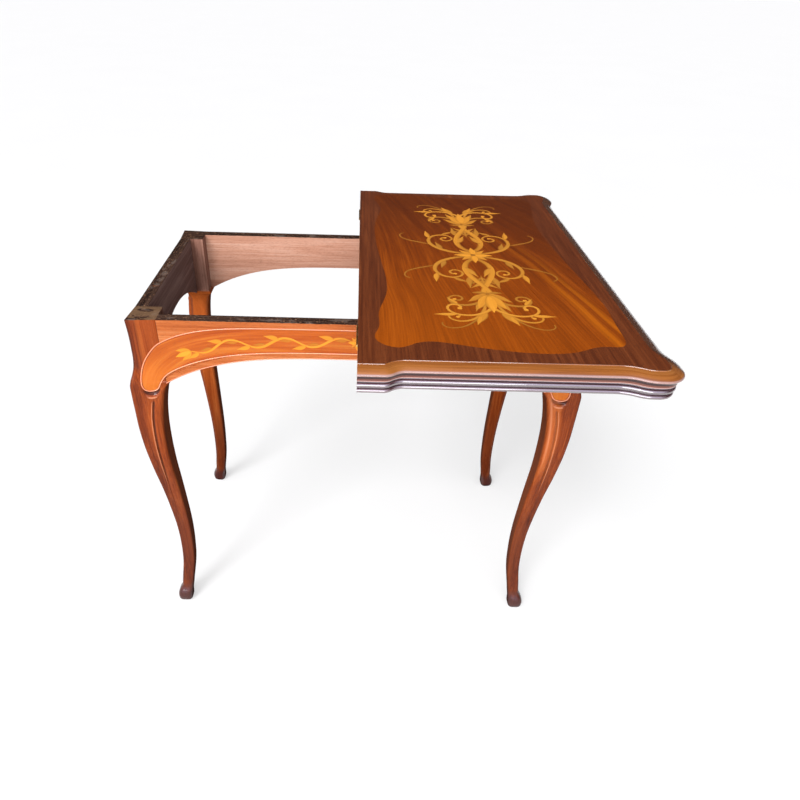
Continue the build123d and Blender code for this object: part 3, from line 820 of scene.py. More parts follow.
@dataclass(frozen=True)
class LegPolish:
    """Old polish on the legs: red-brown outside the carved ridge, warmer orange inside it."""

    # Colour of the painted shade; the same colour also darkens the shin and the toe.
    painted_shade: Colour = rgb(46, 24, 20)
    inner_faces: Colour = rgb(92, 72, 64)
    # Painted light on the back legs' inner faces that look to the front.
    lit_inner_faces: Colour = rgb(190, 98, 44)
    # Painted highlight along a line near the inner edge of the front right leg.
    painted_highlight_line: Colour = rgb(226, 160, 122)
    toe: Colour = rgb(54, 32, 32)
    # Painted light on the front right leg's knee.
    painted_knee_light: Colour = rgb(220, 122, 66)
    # Painted highlight on the carving's raised lip and swell.
    lip: Colour = rgb(222, 150, 110)
    rubbed_corner: Colour = rgb(196, 128, 92)
    pale_post_top: Colour = rgb(122, 94, 70)

    def material(self) -> bpy.types.Material:
        """Lay the two woods, colour them, and add the post's bare inside and worn top.

        Painted shade on inner faces, hollows and outer corner; the shin and toe are darker too.

        Returns:
            The material.
        """
        recipe = Recipe("leg_polish")
        place = recipe.place()
        x, y, z = recipe.parts(place)
        past, inward, cut, inner_y = (recipe.mark(name) for name in ("past", "inward", "cut", "inner_y"))
        upright = recipe.turned(place, Run.ALONG_Z.value)
        drift = recipe.noise(place, (30, 30, 9), 3, 21.0) - 0.5
        ridge_side = (past + drift * 0.9 + z.step(0.40, 0.57) * 0.9).step(-0.35, 0.35)
        warm_side = ridge_side * (1 - inward.step(1.0, 1.08)) * (1 - z.step(0.30, 0.13) * 0.75)
        layer = recipe.over(warm_side, LEG_OUTER.lay(recipe, upright), LEG_INNER.lay(recipe, upright))
        back = y.step(0.10, 0.12)
        # Painted shade on the inner faces (less on the back legs), in the carved hollows and on the rounded
        # outer corner; the same coat makes the shin and the toe's end darker.
        shade_and_darkening = inward.step(0.97, 1.04) * (0.7 - back * 0.4)
        corner = 1 - inward.step(0.02, 0.09)
        shin, toe_end = z.step(0.54, 0.16) * 0.46, z.step(0.040, 0.028) * 0.55
        for other in (cut.step(0.5, 1.8) * 0.8, shin, toe_end, corner * 0.5):
            shade_and_darkening = shade_and_darkening.larger(other)
        front_right = x.step(0.28, 0.32) * y.step(-0.14, -0.18)
        # Mask of the painted highlight line.
        line = inward.step(0.80, 0.86) * (1 - inward.step(0.86, 0.93))
        line = line * z.step(0.40, 0.50) * z.step(0.590, 0.575)
        toe = z.step(0.056, 0.028)
        # Mask of the painted light on the knee.
        knee = z.step(0.36, 0.47) * (1 - inward.step(0.9, 1.0)) * past.step(-0.8, 0.1)
        rubbing = recipe.noise(place, (120, 120, 30), 4, 23.0).step(0.58, 0.72)
        # Coats: painted shade; greyer inner faces; painted light on the back legs' front inner faces;
        # painted highlight line on the front right leg; darker toe, darker still at the floor; painted light
        # on the front right knee; painted highlight on the raised carving; rubbed corner.
        colour = recipe.tint(
            layer.colour,
            (shade_and_darkening, self.painted_shade),
            (inward.step(0.97, 1.03) * (1 - back * inner_y) * 0.6, self.inner_faces),
            (back * inner_y * z.step(0.30, 0.52) * 0.45, self.lit_inner_faces),
            (line * front_right * 0.3, self.painted_highlight_line),
            (toe * 0.72 + z.step(0.016, 0.002) * 0.18, self.toe),
            (knee * front_right * 0.2, self.painted_knee_light),
            ((0 - cut).step(0.4, 0.9) * 0.4, self.lip),
            (rubbing * (1 - inward.step(0.02, 0.14)) * 0.35, self.rubbed_corner),
        )
        layer = layer.painted(colour)
        post_inside = inward.step(0.995, 1.0) * z.step(0.597, 0.600)
        layer = recipe.over(post_inside, layer, INSIDE_POST.lay(recipe, upright))
        top = worn_layer(recipe, place)
        front_left = x.step(-0.30, -0.34) * y.step(-0.13, -0.17)
        patch = front_left * recipe.noise(place, (40, 60, 40), 3, 27.0).step(0.42, 0.50)
        top = top.painted(recipe.mix(patch * 0.6, top.colour, self.pale_post_top))
        layer = recipe.over(z.step(0.7180, 0.7183), layer, top)
        unpolished = inward.step(0.92, 1.0).larger(z.step(0.7178, 0.7181))
        polish = (0.26 + toe * 0.34) * (1 - unpolished)
        return recipe.finish(layer, 0.00012, coat=polish, shine=0.0, coat_rough=0.12)


# Frame: sides with their veneered panels


MIRROR = np.array([-1, 1])


class Side(Enum):
    """Side of the frame: the way its face looks out, and its name."""

    FRONT = ((0.0, -1.0), "front")
    BACK = ((0.0, 1.0), "back")
    LEFT = ((-1.0, 0.0), "left")
    RIGHT = ((1.0, 0.0), "right")


@dataclass
class FrameSide:
    """One side of the frame: the curved veneer panel that runs down onto both legs, and its strings.

    The two tables give the panel's edges on a leg as insets from the frame's corner and heights.
    """

    side: Side
    leg: Leg
    rail_setback: float = 0.004
    leg_post: float = 0.050
    frame_height: float = 0.7185
    arch_end: float = 0.593
    veneer_rise: float = 0.00035
    edge_sink: float = 0.0002
    back_sink: float = 0.0006
    string_radius: float = 0.00105
    bead_radius: float = 0.0009
    edge_points: int = 110
    face_points: int = 48
    back_points: int = 6
    string_points: int = 620
    upper_on_leg: tuple[Row, ...] = (
        (0.0447, 0.671), (0.0375, 0.6643), (0.031, 0.6566), (0.024, 0.6468), (0.0186, 0.6376),
        (0.0142, 0.627), (0.0113, 0.616), (0.0096, 0.603), (0.0102, 0.5922), (0.0132, 0.5856),
        (0.018, 0.5825), (0.023, 0.5816),
    )
    lower_on_leg: tuple[Row, ...] = (
        (0.0462, 0.6042), (0.0422, 0.5985), (0.0388, 0.5922), (0.0362, 0.5868), (0.033, 0.5832),
        (0.029, 0.5818), (0.025, 0.5816),
    )

    @property
    def long(self) -> bool:
        """Whether this is one of the two long sides."""
        return self.side in (Side.FRONT, Side.BACK)

    @property
    def half(self) -> float:
        """Half the side's length, to the frame's corner."""
        return self.leg.half_length if self.long else self.leg.half_depth

    @property
    def crown(self) -> float:
        """Height of the arch's crown."""
        return 0.650 if self.long else 0.643

    def world(self, reach: np.ndarray, depth: np.ndarray, height: np.ndarray) -> np.ndarray:
        """Place points of the side in the shared frame.

        Args:
            reach: Distance from the side's middle, to the right as seen from outside.
            depth: Distance in from the frame's side.
            height: Height over the floor.

        Returns:
            Points.
        """
        out_x, out_y = self.side.value[0]
        distance = self.leg.half_depth if self.long else self.leg.half_length
        away = distance - depth
        return np.stack([out_x * away - out_y * reach, out_y * away + out_x * reach, height], -1)

    def depth(self, reach: np.ndarray, height: np.ndarray) -> np.ndarray:
        """Depth of the side's face: the rail's between the legs, the leg's own face on a leg."""
        inset = self.half - np.abs(reach)
        return np.where(inset >= self.leg_post, self.rail_setback, self.leg.face_depth(inset, height))

    def half_outline(self, count: int) -> tuple[np.ndarray, np.ndarray]:
        """Upper and lower edge of the panel from the middle to its end on the leg.

        Over the rail each edge leaves its middle height by powers of the share of the half span;
        on the leg both follow their tables down to where they meet.

        Args:
            count: Points on each edge.

        Returns:
            Upper and lower edge as rows of reach and height.
        """
        span = self.half - self.leg_post
        share = np.array([0, 0.12, 0.25, 0.38, 0.5, 0.62, 0.72, 0.81, 0.88, 0.94, 1.0])
        upper_rail = self.frame_height - 0.0115 - 0.0325 * share**6
        middle = self.crown + 0.0118
        power = 4.0 if self.long else 2.8
        lower_rail = middle - (middle - self.arch_end - 0.0190) * share**power - 0.0035 * share**30
        edges = []
        for rail, table in ((upper_rail, self.upper_on_leg), (lower_rail, self.lower_on_leg)):
            on_leg = np.array(table)
            on_leg[:, 0] = self.half - on_leg[:, 0]
            edges.append(evenly(np.vstack([np.column_stack([share * span, rail]), on_leg]), count))
        return edges[0], edges[1]

    def panel(self) -> Solid:
        """Thin veneer over the whole panel.

        A point goes a share of the way from the lower edge to the upper edge, at the same share of
        both edges' lengths. The ring goes across the front and back behind it. The UV map follows
        the panel's own length and width, so that the grain bends down with it.

        Returns:
            The closed sheet. Its marks are the distance from the nearer end in decimetres, and the
            distance from the edge in millimetres.
        """
        halves = self.half_outline(self.edge_points)
        upper, lower = (np.vstack([edge[:0:-1] * MIRROR, edge]) for edge in halves)
        front, back = self.face_points, self.back_points
        share = np.concatenate([[0], np.linspace(0.006, 0.994, front), [1], np.linspace(0.97, 0.03, back)])
        edge, under = [-self.edge_sink], np.full(back, -self.back_sink)
        lift = np.concatenate([edge, np.full(front, self.veneer_rise), edge, under])
        flat = lower[:, None] + (upper - lower)[:, None] * share[None, :, None]
        reach, height = flat[..., 0], flat[..., 1]
        points = self.world(reach, self.depth(reach, height) - lift, height)
        run = distances((upper + lower) / 2)
        width = np.linalg.norm(upper - lower, axis=1)
        round_share = np.concatenate([share, share[:1]])
        along = np.broadcast_to(run[:, None], (len(run), len(round_share)))
        across = width[:, None] * (round_share - 0.5)[None, :]
        ends = np.minimum(run, run[-1] - run)[:, None] * np.ones(len(share))
        rim = np.minimum(np.minimum(share, 1 - share)[None, :] * width[:, None], ends)
        return Solid(points, along, across, marks={"ends": ends * 10, "rim": rim * 1000})

    def string(self, path: np.ndarray, radius: float, looped: bool, lift: float) -> Solid:
        """Fine rounded string laid along a line of the face.

        A circle is carried along the line, square to it, its middle just over the face.

        Args:
            path: Line as rows of reach and height.
            radius: Radius of the string.
            looped: Whether the line closes.
            lift: How far the string's middle stands out of the face.

        Returns:
            The closed string, with its height over the face in millimetres as a mark.
        """
        if looped:
            ahead = np.roll(path, -1, 0) - np.roll(path, 1, 0)
        else:
            ahead = np.gradient(path, axis=0)
        ahead = ahead / np.linalg.norm(ahead, axis=1, keepdims=True)
        square = np.stack([-ahead[:, 1], ahead[:, 0]], -1)
        turn = np.linspace(0, 2 * np.pi, 10, endpoint=False)
        flat = path[:, None] + radius * np.cos(turn)[None, :, None] * square[:, None]
        base = self.depth(path[:, 0], path[:, 1])[:, None]
        points = self.world(flat[..., 0], base - lift - radius * np.sin(turn)[None, :], flat[..., 1])
        crest = np.broadcast_to(np.sin(turn) * radius + lift, points.shape[:2])
        run = distances(np.vstack([path, path[:1]]) if looped else path)
        girth = np.linspace(0, 2 * np.pi * radius, len(turn) + 1)
        along, across = np.meshgrid(run, girth, indexing="ij")
        return Solid(points, along, across, looped, {"crest": crest * 1000})

    def strings(self) -> list[Solid]:
        """Lay a closed string along the panel's outline and a fine bead over the arch's edge.

        Returns:
            The string and the bead.
        """
        upper, lower = self.half_outline(self.edge_points)
        right = np.vstack([upper, lower[-2::-1]])
        left = (right[::-1] * MIRROR)[1:-1]
        outline = evenly(np.vstack([right, left, right[:1]]), self.string_points)[:-1]
        share = np.linspace(-1, 1, 160)
        power = 3.6 if self.long else 2.0
        arch = self.crown + 0.0013 - (self.crown - self.arch_end) * np.abs(share) ** power
        low = np.column_stack([share * (self.half - self.leg_post), arch])
        return [
            self.string(outline, self.string_radius, True, 0.0002),
            self.string(low, self.bead_radius, False, 0.0001),
        ]

    def build(self, veneer: bpy.types.Material, string: bpy.types.Material) -> None:
        """Make the panel in place of the CAD panel, and its strings.

        Args:
            veneer: Finish of the panel.
            string: Finish of the strings.
        """
        name = self.side.value[1]
        panel = make_piece(f"veneer_{name}", [self.panel()], veneer, 50)
        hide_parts(f"panel_{name}")
        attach(panel, "frame")
        strings = make_piece(f"strings_{name}", self.strings(), string, 60)
        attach(strings, "frame")


@dataclass(frozen=True)
class RailPolish:
    """Rail: polished outside, bare inside with painted shade on the short rails, dark and worn on its top
    edge.
    """

    long: bool

    def material(self) -> bpy.types.Material:
        """Lay the three finishes by the distance from the frame's middle and by height.

        Returns:
            The material.
        """
        recipe = Recipe("rail_long" if self.long else "rail_short")
        place = recipe.place()
        x, y, z = recipe.parts(place)
        laid = recipe.turned(place, (Run.ALONG_X if self.long else Run.ALONG_Y).value)
        # The short rails' inside is a darker copy of the bare wood: painted shade.
        bare = (BARE_WOOD if self.long else SHADED_INSIDE_SHORT).lay(recipe, laid)
        outside = abs(y).step(0.1830, 0.1845) if self.long else abs(x).step(0.3580, 0.3595)
        layer = recipe.over(outside, bare, RAIL_POLISHED.lay(recipe, laid))
        chips = recipe.noise(place, (60, 60, 300), 4, 14.0) - 0.5
        layer = recipe.over((z + chips * 0.002).step(0.7174, 0.7182), layer, worn_layer(recipe, laid))
        return recipe.finish(layer, 0.00015, coat=outside * 0.25, shine=0.0, coat_rough=0.14)


@dataclass(frozen=True)
class StringPolish:
    """Strings on the frame: bright polish on their crest, painted shade where they meet the face."""

    painted_shade: Colour = rgb(96, 38, 16)

    def material(self) -> bpy.types.Material:
        """Paint shade on the string's wood towards its foot.

        Returns:
            The material.
        """
        recipe = Recipe("string_polish")
        layer = STRING_WOOD.lay(recipe, recipe.grain_map())
        # Painted shade towards the string's foot, where it meets the face.
        foot = 1 - recipe.mark("crest").step(0.30, 0.85)
        colour = recipe.mix(foot * 0.9, layer.colour, self.painted_shade)
        return recipe.finish(layer.painted(colour), 0.00004, coat=0.5, shine=0.3, coat_rough=0.14)


@dataclass(frozen=True)
class PanelVeneer:
    """Veneer of the panels: bright orange, more golden at the ends on the legs, painted shade at the edge.
    """

    golden: Colour = rgb(192, 105, 32)
    # Colour of the painted shade along the edge.
    edge: Colour = rgb(104, 40, 14)

    def material(self) -> bpy.types.Material:
        """Tint the veneer by the distance from its ends, and paint shade by the distance from its edge.

        Returns:
            The material.
        """
        recipe = Recipe("panel_veneer")
        layer = PANEL_WOOD.lay(recipe, recipe.grain_map())
        near_end = 1 - recipe.mark("ends").step(0.1, 0.9)
        # Painted shade within a few millimetres of the edge, beside the string.
        edge_shade_share = 1 - recipe.mark("rim").step(1.3, 2.6)
        colour = recipe.tint(layer.colour, (near_end * 0.5, self.golden), (edge_shade_share * 0.8, self.edge))
        return recipe.finish(layer.painted(colour), 0.0001, coat=0.2, shine=0.1, coat_rough=0.12)


# Leaves: their moulded edges


class LeafKind(Enum):
    """The two leaves by their bodies' names."""

    LOWER = "lower_leaf"
    UPPER = "upper_leaf"


@dataclass
class LeafEdge:
    """Three mitred lengths of moulding round one leaf.

    The two section lines go round the moulding as runs of points: shares of its width, inwards, and
    of its thickness, upwards. Three points in a run stand for the arc through them.
    """

    kind: LeafKind
    hinge_edge: float = 0.00015
    leaf_width: float = 0.450
    leaf_length: float = 0.810
    leaf_thickness: float = 0.02035
    lipping_width: float = 0.020
    ear_flat: float = 0.036
    ear_step: float = 0.0115
    ear_radius: float = 0.024
    corner_radius: float = 0.034
    corner_flat: float = 0.006
    corner_step: float = 0.0115
    corner_step_radius: float = 0.060
    bend_division: float = 0.0022
    straight_division: float = 0.02
    lower_line: tuple[tuple[Row, ...], ...] = (
        ((0.42, 0.02), (0.45, 0.0)), ((1.0, 0.0),), ((1.0, 1.0),), ((0.30, 1.0), (0.30, 0.955)),
        ((0.43, 0.94), (0.47, 0.87), (0.40, 0.79)), ((0.40, 0.79), (0.265, 0.615), (0.40, 0.44)),
        ((0.46, 0.425), (0.485, 0.37), (0.42, 0.315)), ((0.42, 0.315), (0.315, 0.165), (0.42, 0.02)),
    )
    upper_line: tuple[tuple[Row, ...], ...] = (
        ((0.93, 0.95), (0.945, 0.99)), ((0.96, 1.0),), ((1.0, 1.0),), ((1.0, 0.0),),
        ((0.28, 0.0), (0.28, 0.20)), ((0.28, 0.20), (0.22, 0.40), (0.08, 0.50)),
        ((0.08, 0.50), (0.0, 0.58), (0.05, 0.67)), ((0.05, 0.67), (0.48, 0.86), (0.93, 0.95)),
    )

    @property
    def under(self) -> float:
        """Height of the leaf's underside."""
        return 0.7188 if self.kind is LeafKind.LOWER else 0.73945

    def arc(self, start: np.ndarray, middle: np.ndarray, end: np.ndarray, count: int = 13) -> np.ndarray:
        """Points on the circle through three points.

        The centre is where the three distances agree; the angle goes evenly from the start to the
        end on the middle point's side.

        Args:
            start: First point.
            middle: Point on the way.
            end: Last point.
            count: Points to give back.

        Returns:
            Points on the arc.
        """
        lines = 2 * np.array([middle - start, end - start])
        lengths = np.array([middle @ middle - start @ start, end @ end - start @ start])
        centre = np.linalg.solve(lines, lengths)
        angles = np.unwrap([math.atan2(*(point - centre)[::-1]) for point in (start, middle, end)])
        turn = np.linspace(angles[0], angles[2], count)
        return centre + np.linalg.norm(start - centre) * np.stack([np.cos(turn), np.sin(turn)], -1)

    def profile(self) -> np.ndarray:
        """Draw the section's runs in metres and join them, without doubled points.

        Returns:
            The section as rows of inset and height over the leaf's underside.
        """
        table = self.lower_line if self.kind is LeafKind.LOWER else self.upper_line
        runs = [np.array(run) * np.array([self.lipping_width, self.leaf_thickness]) for run in table]
        line = np.vstack([self.arc(*run) if len(run) == 3 else run for run in runs])
        return line[np.linalg.norm(line - np.roll(line, 1, 0), axis=1) > 1e-6]

    def moves(self) -> list[Row]:
        """Straights and bends of the leaf's edge from its front hinge corner to its back one.

        Returns:
            Rows of length, radius and turn in radians; a straight has no turn.
        """
        ear = math.acos(1 - self.ear_step / (2 * self.ear_radius))
        step = math.acos(1 - self.corner_step / (2 * self.corner_step_radius))
        ear_run = 2 * self.ear_radius * math.sin(ear)
        step_run = 2 * self.corner_step_radius * math.sin(step)
        front = self.leaf_width - self.ear_flat - ear_run - step_run - self.corner_flat - self.corner_radius
        side = self.leaf_length - 2 * (self.corner_radius + self.corner_flat + step_run)
        step_out, step_in = (0, self.corner_step_radius, -step), (0, self.corner_step_radius, step)
        flat, half_corner = (self.corner_flat, 0, 0), (0, self.corner_radius, math.pi / 4)
        to_side = [
            (self.ear_flat, 0, 0), (0, self.ear_radius, ear), (0, self.ear_radius, -ear), (front, 0, 0),
            step_out, step_in, flat, half_corner, half_corner, flat, step_in, step_out,
        ]
        return to_side + [(side, 0, 0)] + to_side[::-1]

    def paths(self) -> list[tuple[np.ndarray, np.ndarray]]:
        """Edge line of the three lengths, with the way inwards at each point.

        Each move goes on from the last: a straight adds its length, a bend turns round a centre that
        lies its radius to the left or right. The lengths part in the middle of the corner bends,
        eight moves from either end.

        Returns:
            For each length its points and unit ways inwards.
        """
        moves = self.moves()
        bounds = (0, 8, len(moves) - 8, len(moves))
        place = np.array([self.hinge_edge, -self.leaf_length / 2])
        heading = 0.0
        points, inwards = [], []
        for number, (length, radius, turn) in enumerate(moves):
            division = abs(turn) * radius / self.bend_division if turn else length / self.straight_division
            pieces = 2 + int(division)
            share = np.linspace(0, 1, pieces + 1)[:, None]
            if turn:
                sign = math.copysign(1, turn)
                left = np.array([-math.sin(heading), math.cos(heading)])
                centre = place + sign * radius * left
                angle = heading + turn * share[:, 0]
                side = np.stack([-np.sin(angle), np.cos(angle)], -1)
                line = centre - sign * radius * side
                heading += turn
            else:
                ahead = np.array([math.cos(heading), math.sin(heading)])
                side = np.tile([-math.sin(heading), math.cos(heading)], (pieces + 1, 1))
                line = place + length * share * ahead
            place = line[-1]
            first = 0 if number in bounds else 1
            points.append(line[first:])
            inwards.append(side[first:])
        return [
            (np.vstack(points[low:high]), np.vstack(inwards[low:high]))
            for low, high in zip(bounds[:-1], bounds[1:])
        ]

    def solids(self) -> list[Solid]:
        """Carry the moulding's section along each length.

        A point of the section lies its inset inwards of the edge line and its height over the leaf's
        underside. The UV map runs along the edge line and round the section.

        Returns:
            Front, side and back length, with the shares of height and inset as marks.
        """
        section = self.profile()
        round_section = distances(np.vstack([section, section[:1]]))
        made = []
        for line, inwards in self.paths():
            flat = line[:, None] + section[None, :, :1] * inwards[:, None]
            grid = flat.shape[:2]
            height = np.broadcast_to(self.under + section[None, :, 1:], grid + (1,))
            along, across = np.meshgrid(distances(line), round_section, indexing="ij")
            marks = {
                "level": np.broadcast_to(section[None, :, 1] / self.leaf_thickness, grid),
                "inset": np.broadcast_to(section[None, :, 0] / self.lipping_width, grid),
            }
            made.append(Solid(np.concatenate([flat, height], -1), along, across, marks=marks))
        return made

    def build(self, material: bpy.types.Material) -> None:
        """Make the three lengths in place of the CAD ones.

        Args:
            material: Finish of the moulding.
        """
        short = self.kind.value.split("_")[0]
        for solid, place in zip(self.solids(), ("front", "side", "back")):
            piece = make_piece(f"{short}_moulding_{place}", [solid], material, 30)
            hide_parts(f"{short}_lipping_{place}")
            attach(piece, self.kind.value)


@dataclass(frozen=True)
class MouldingPolish:
    """Polish of the mouldings: painted shade in the quirks and under the nose, paler noses."""

    kind: LeafKind
    playing_side: Colour = rgb(96, 46, 24)
    # Painted shade in the lower moulding's quirks.
    lower_quirk_shade: Colour = rgb(48, 30, 36)
    nose: Colour = rgb(150, 128, 130)
    # Painted shade under the upper nose, darkest in the hollow.
    under: Colour = rgb(88, 50, 48)
    hollow: Colour = rgb(40, 20, 22)
    bottom_edge: Colour = rgb(206, 164, 158)
    joint: Colour = rgb(60, 26, 16)
    shadow: Colour = rgb(58, 30, 20)

    def upper_zones(
        self, recipe: Recipe, inset: Value, level: Value
    ) -> tuple[Value, Value, list[tuple[Value, Colour]]]:
        """Zones of the upper leaf's moulding.

        Args:
            recipe: Recipe that takes the nodes.
            inset: Share of its width, inwards.
            level: Share of its height.

        Returns:
            Its flat face on the playing side, where the polish is worn off, and its coats as shares
            and colours.
        """
        x, y, _ = recipe.parts(recipe.place())
        under = 1 - level.step(0.42, 0.56)
        flat = inset.step(0.285, 0.33) * (1 - level.step(0.004, 0.02))
        far_side = (x.step(0.405, 0.425) * (x + y).step(0.058, 0.080)).larger(y.step(0.375, 0.395))
        coats = [
            ((1 - inset.step(0.03, 0.13)) * 0.6, self.nose),
            # Painted shade under the nose, darker again in the hollow.
            (under * 0.85, self.under),
            (under * level.step(0.16, 0.22) * 0.9, self.hollow),
            ((1 - level.step(0.03, 0.07)) * (1 - flat) * 0.6, self.bottom_edge),
            (inset.step(0.93, 0.955) * 0.7, self.joint),
            (far_side * level.step(0.42, 0.56) * 0.8, self.shadow),
        ]
        return flat, (under * 0.75).larger(flat * 0.85), coats

    def material(self) -> bpy.types.Material:
        """Lay the coats of the leaf's moulding over its wood.

        Returns:
            The material.
        """
        recipe = Recipe(f"moulding_{self.kind.name.lower()}")
        upper = self.kind is LeafKind.UPPER
        layer = (UPPER_EDGE if upper else LOWER_EDGE).lay(recipe, recipe.grain_map())
        inset, level = recipe.mark("inset"), recipe.mark("level")
        if upper:
            flat, worn, coats = self.upper_zones(recipe, inset, level)
        else:
            # Painted shade in the quirks.
            quirk = inset.step(0.405, 0.44)
            flat = inset.step(0.305, 0.33) * level.step(0.98, 0.996)
            worn, coats = (quirk * 0.9).larger(flat * 0.94), [(quirk * 0.85, self.lower_quirk_shade)]
        colour = recipe.tint(layer.colour, *coats, (flat * 0.92, self.playing_side))
        layer = layer.painted(colour)
        index = 1.5 if upper else 2.6
        return recipe.finish(layer, 0.00002, coat=1 - worn, shine=0.3, coat_rough=0.09, coat_index=index)


# Inlay


# Rise of a strip over its ground, what each layer and each copy adds, and the depth of its edges.
STRIP_RISE, LAYER_RISE, COPY_RISE, STRIP_SINK = 0.00004, 0.000006, 0.0000014, 0.0004


class Copies(Enum):
    """How a strip is repeated about the middle of its design: the signs of each copy."""

    ONCE = ((1, 1),)
    ENDS = ((1, 1), (1, -1))
    SIDES = ((1, 1), (-1, 1))
    FOUR = ((1, 1), (-1, 1), (1, -1), (-1, -1))


@dataclass(frozen=True)
class Stroke:
    """Strip of inlaid veneer that sets off from a point, bends as it goes, and swells and tapers.

    Lengths are in millimetres, headings in degrees, bends in degrees per 100 mm at even shares of
    the length, half widths at even shares too. The tone goes from dark to light, and of two strips
    that cross, the one with the higher layer lies on top.
    """

    start: tuple[float, float]
    heading: float
    length: float
    bends: Row
    widths: Row
    tone: float = 0.5
    layer: int = 0
    copies: Copies = Copies.FOUR
    steps: int = 56

    def line(self) -> tuple[np.ndarray, np.ndarray, np.ndarray]:
        """Middle line of the strip.

        The bend is carried smoothly through its values; adding it up along the length gives the
        heading, and adding up the heading's cosine and sine gives the place.

        Returns:
            Points and half widths in millimetres, and the heading at each point in radians.
        """
        share = np.linspace(0, 1, self.steps)
        step = self.length / (self.steps - 1)
        bend, width = (
            flow(np.column_stack([np.linspace(0, 1, len(values)), values]), share)[:, 0]
            for values in (self.bends, self.widths)
        )
        turned = np.concatenate([[0], np.cumsum((bend[1:] + bend[:-1]) / 2)]) * step / 100
        angle = np.radians(self.heading + turned)
        ahead = np.stack([np.cos(angle), np.sin(angle)], -1)
        gone = np.vstack([[0, 0], np.cumsum((ahead[1:] + ahead[:-1]) / 2, axis=0) * step])
        return np.array(self.start) + gone, np.maximum(width, 0.12), angle

    def at(self, share: float) -> tuple[tuple[float, float], float]:
        """Look a place on the strip up.

        Args:
            share: Share of its length.

        Returns:
            The point there in millimetres and the heading in degrees.
        """
        points, _, angle = self.line()
        number = round(share * (self.steps - 1))
        return (float(points[number, 0]), float(points[number, 1])), math.degrees(angle[number])

    def branch(
        self, share: float, turn: float, length: float, bends: Row, widths: Row, tone: float, layer: int
    ) -> "Stroke":
        """Strip that grows out of this one.

        Args:
            share: Share of this strip's length where it starts.
            turn: Degrees by which it turns off, to the left.
            length: Its length.
            bends: Its bends.
            widths: Its half widths.
            tone: Its tone.
            layer: How high it lies among the others.

        Returns:
            The new strip.
        """
        start, heading = self.at(share)
        return Stroke(start, heading + turn, length, bends, widths, tone, layer, self.copies)

    def leaf(
        self, share: float, turn: float, length: float, width: float, bend: float, tone: float, layer: int
    ) -> "Stroke":
        """Leaf that grows out of this strip: narrow at both ends, and curved one way, then the other.

        Args:
            share: Share of this strip's length where it starts.
            turn: Degrees by which it turns off, to the left.
            length: Its length.
            width: Its greatest half width.
            bend: How much it bends at its foot.
            tone: Its tone.
            layer: How high it lies among the others.

        Returns:
            The leaf.
        """
        widths = (0.3, 0.75 * width, width, 0.8 * width, 0.35 * width, 0.1)
        return self.branch(share, turn, length, (bend, bend * 0.2, -bend * 0.8), widths, tone, layer)

    def berry(self, radius: float, tone: float, layer: int) -> "Stroke":
        """Round dot at this strip's end."""
        (x, y), _ = self.at(1.0)
        return dot(x, y, radius, tone, layer, self.copies)

    def solids(self, placed: Callable[[np.ndarray, np.ndarray], np.ndarray]) -> list[Solid]:
        """Lay every copy of the strip as a thin closed band.

        The ring goes over the top from one edge to the other and back under the surface. Copies and
        layers differ a little in height, so that no two tops fall together.

        Args:
            placed: Turns flat points in metres and their lift into points of the shared frame.

        Returns:
            The closed bands, with the place across and along and the tone as marks.
        """
        line, width, angle = self.line()
        left = np.stack([-np.sin(angle), np.cos(angle)], -1)
        share = np.array([-1, -1, -0.9, 0, 0.9, 1, 1])
        top = STRIP_RISE + LAYER_RISE * self.layer
        lift = top * np.array([0, 0.6, 1, 1, 1, 0.6, 0]) - STRIP_SINK * np.array([1, 0, 0, 0, 0, 0, 1])
        flat = (line[:, None] + width[:, None, None] * share[None, :, None] * left[:, None]) / 1000
        grid = flat.shape[:2]
        run = np.linspace(0, self.length / 1000, self.steps)
        round_share = np.concatenate([share, share[:1]])
        along = np.broadcast_to(run[:, None], (self.steps, len(round_share))) + self.tone * 3.7
        across = width[:, None] * round_share[None, :] / 1000 + self.layer * 0.1
        marks = {
            "side": np.broadcast_to(share, grid),
            "tone": np.full(grid, self.tone),
            "way": np.broadcast_to((run / run[-1])[:, None], grid),
        }
        made = []
        for number, signs in enumerate(self.copies.value):
            lifted = np.broadcast_to(lift + COPY_RISE * number, grid)
            made.append(Solid(placed(flat * np.array(signs), lifted), along, across, marks=marks))
        return made


def dot(x: float, y: float, radius: float, tone: float, layer: int, copies: Copies) -> Stroke:
    """Round dot: a short straight strip whose width follows a circle."""
    widths = tuple(radius * math.sqrt(max(0.0, 1 - (1 - step / 4) ** 2)) for step in range(9))
    return Stroke((x - radius, y), 0, 2 * radius, (0, 0), widths, tone, layer, copies, 24)


def petals(angles: Row, length: float, width: float, tone: float, layer: int) -> list[Stroke]:
    """Pointed petals about the middle of a design.

    Args:
        angles: Direction of each petal of one quarter, in degrees.
        length: Length of a petal.
        width: Its greatest half width.
        tone: Its tone.
        layer: How high it lies.

    Returns:
        The petals; one on an axis is repeated over the middle alone.
    """
    lone = {0: Copies.SIDES, 90: Copies.ENDS}
    widths = (0.4, 0.82 * width, width, 0.57 * width, 0.2)
    return [
        Stroke((0, 0), angle, length, (0, 0), widths, tone, layer, lone.get(angle, Copies.FOUR), 32)
        for angle in angles
    ]


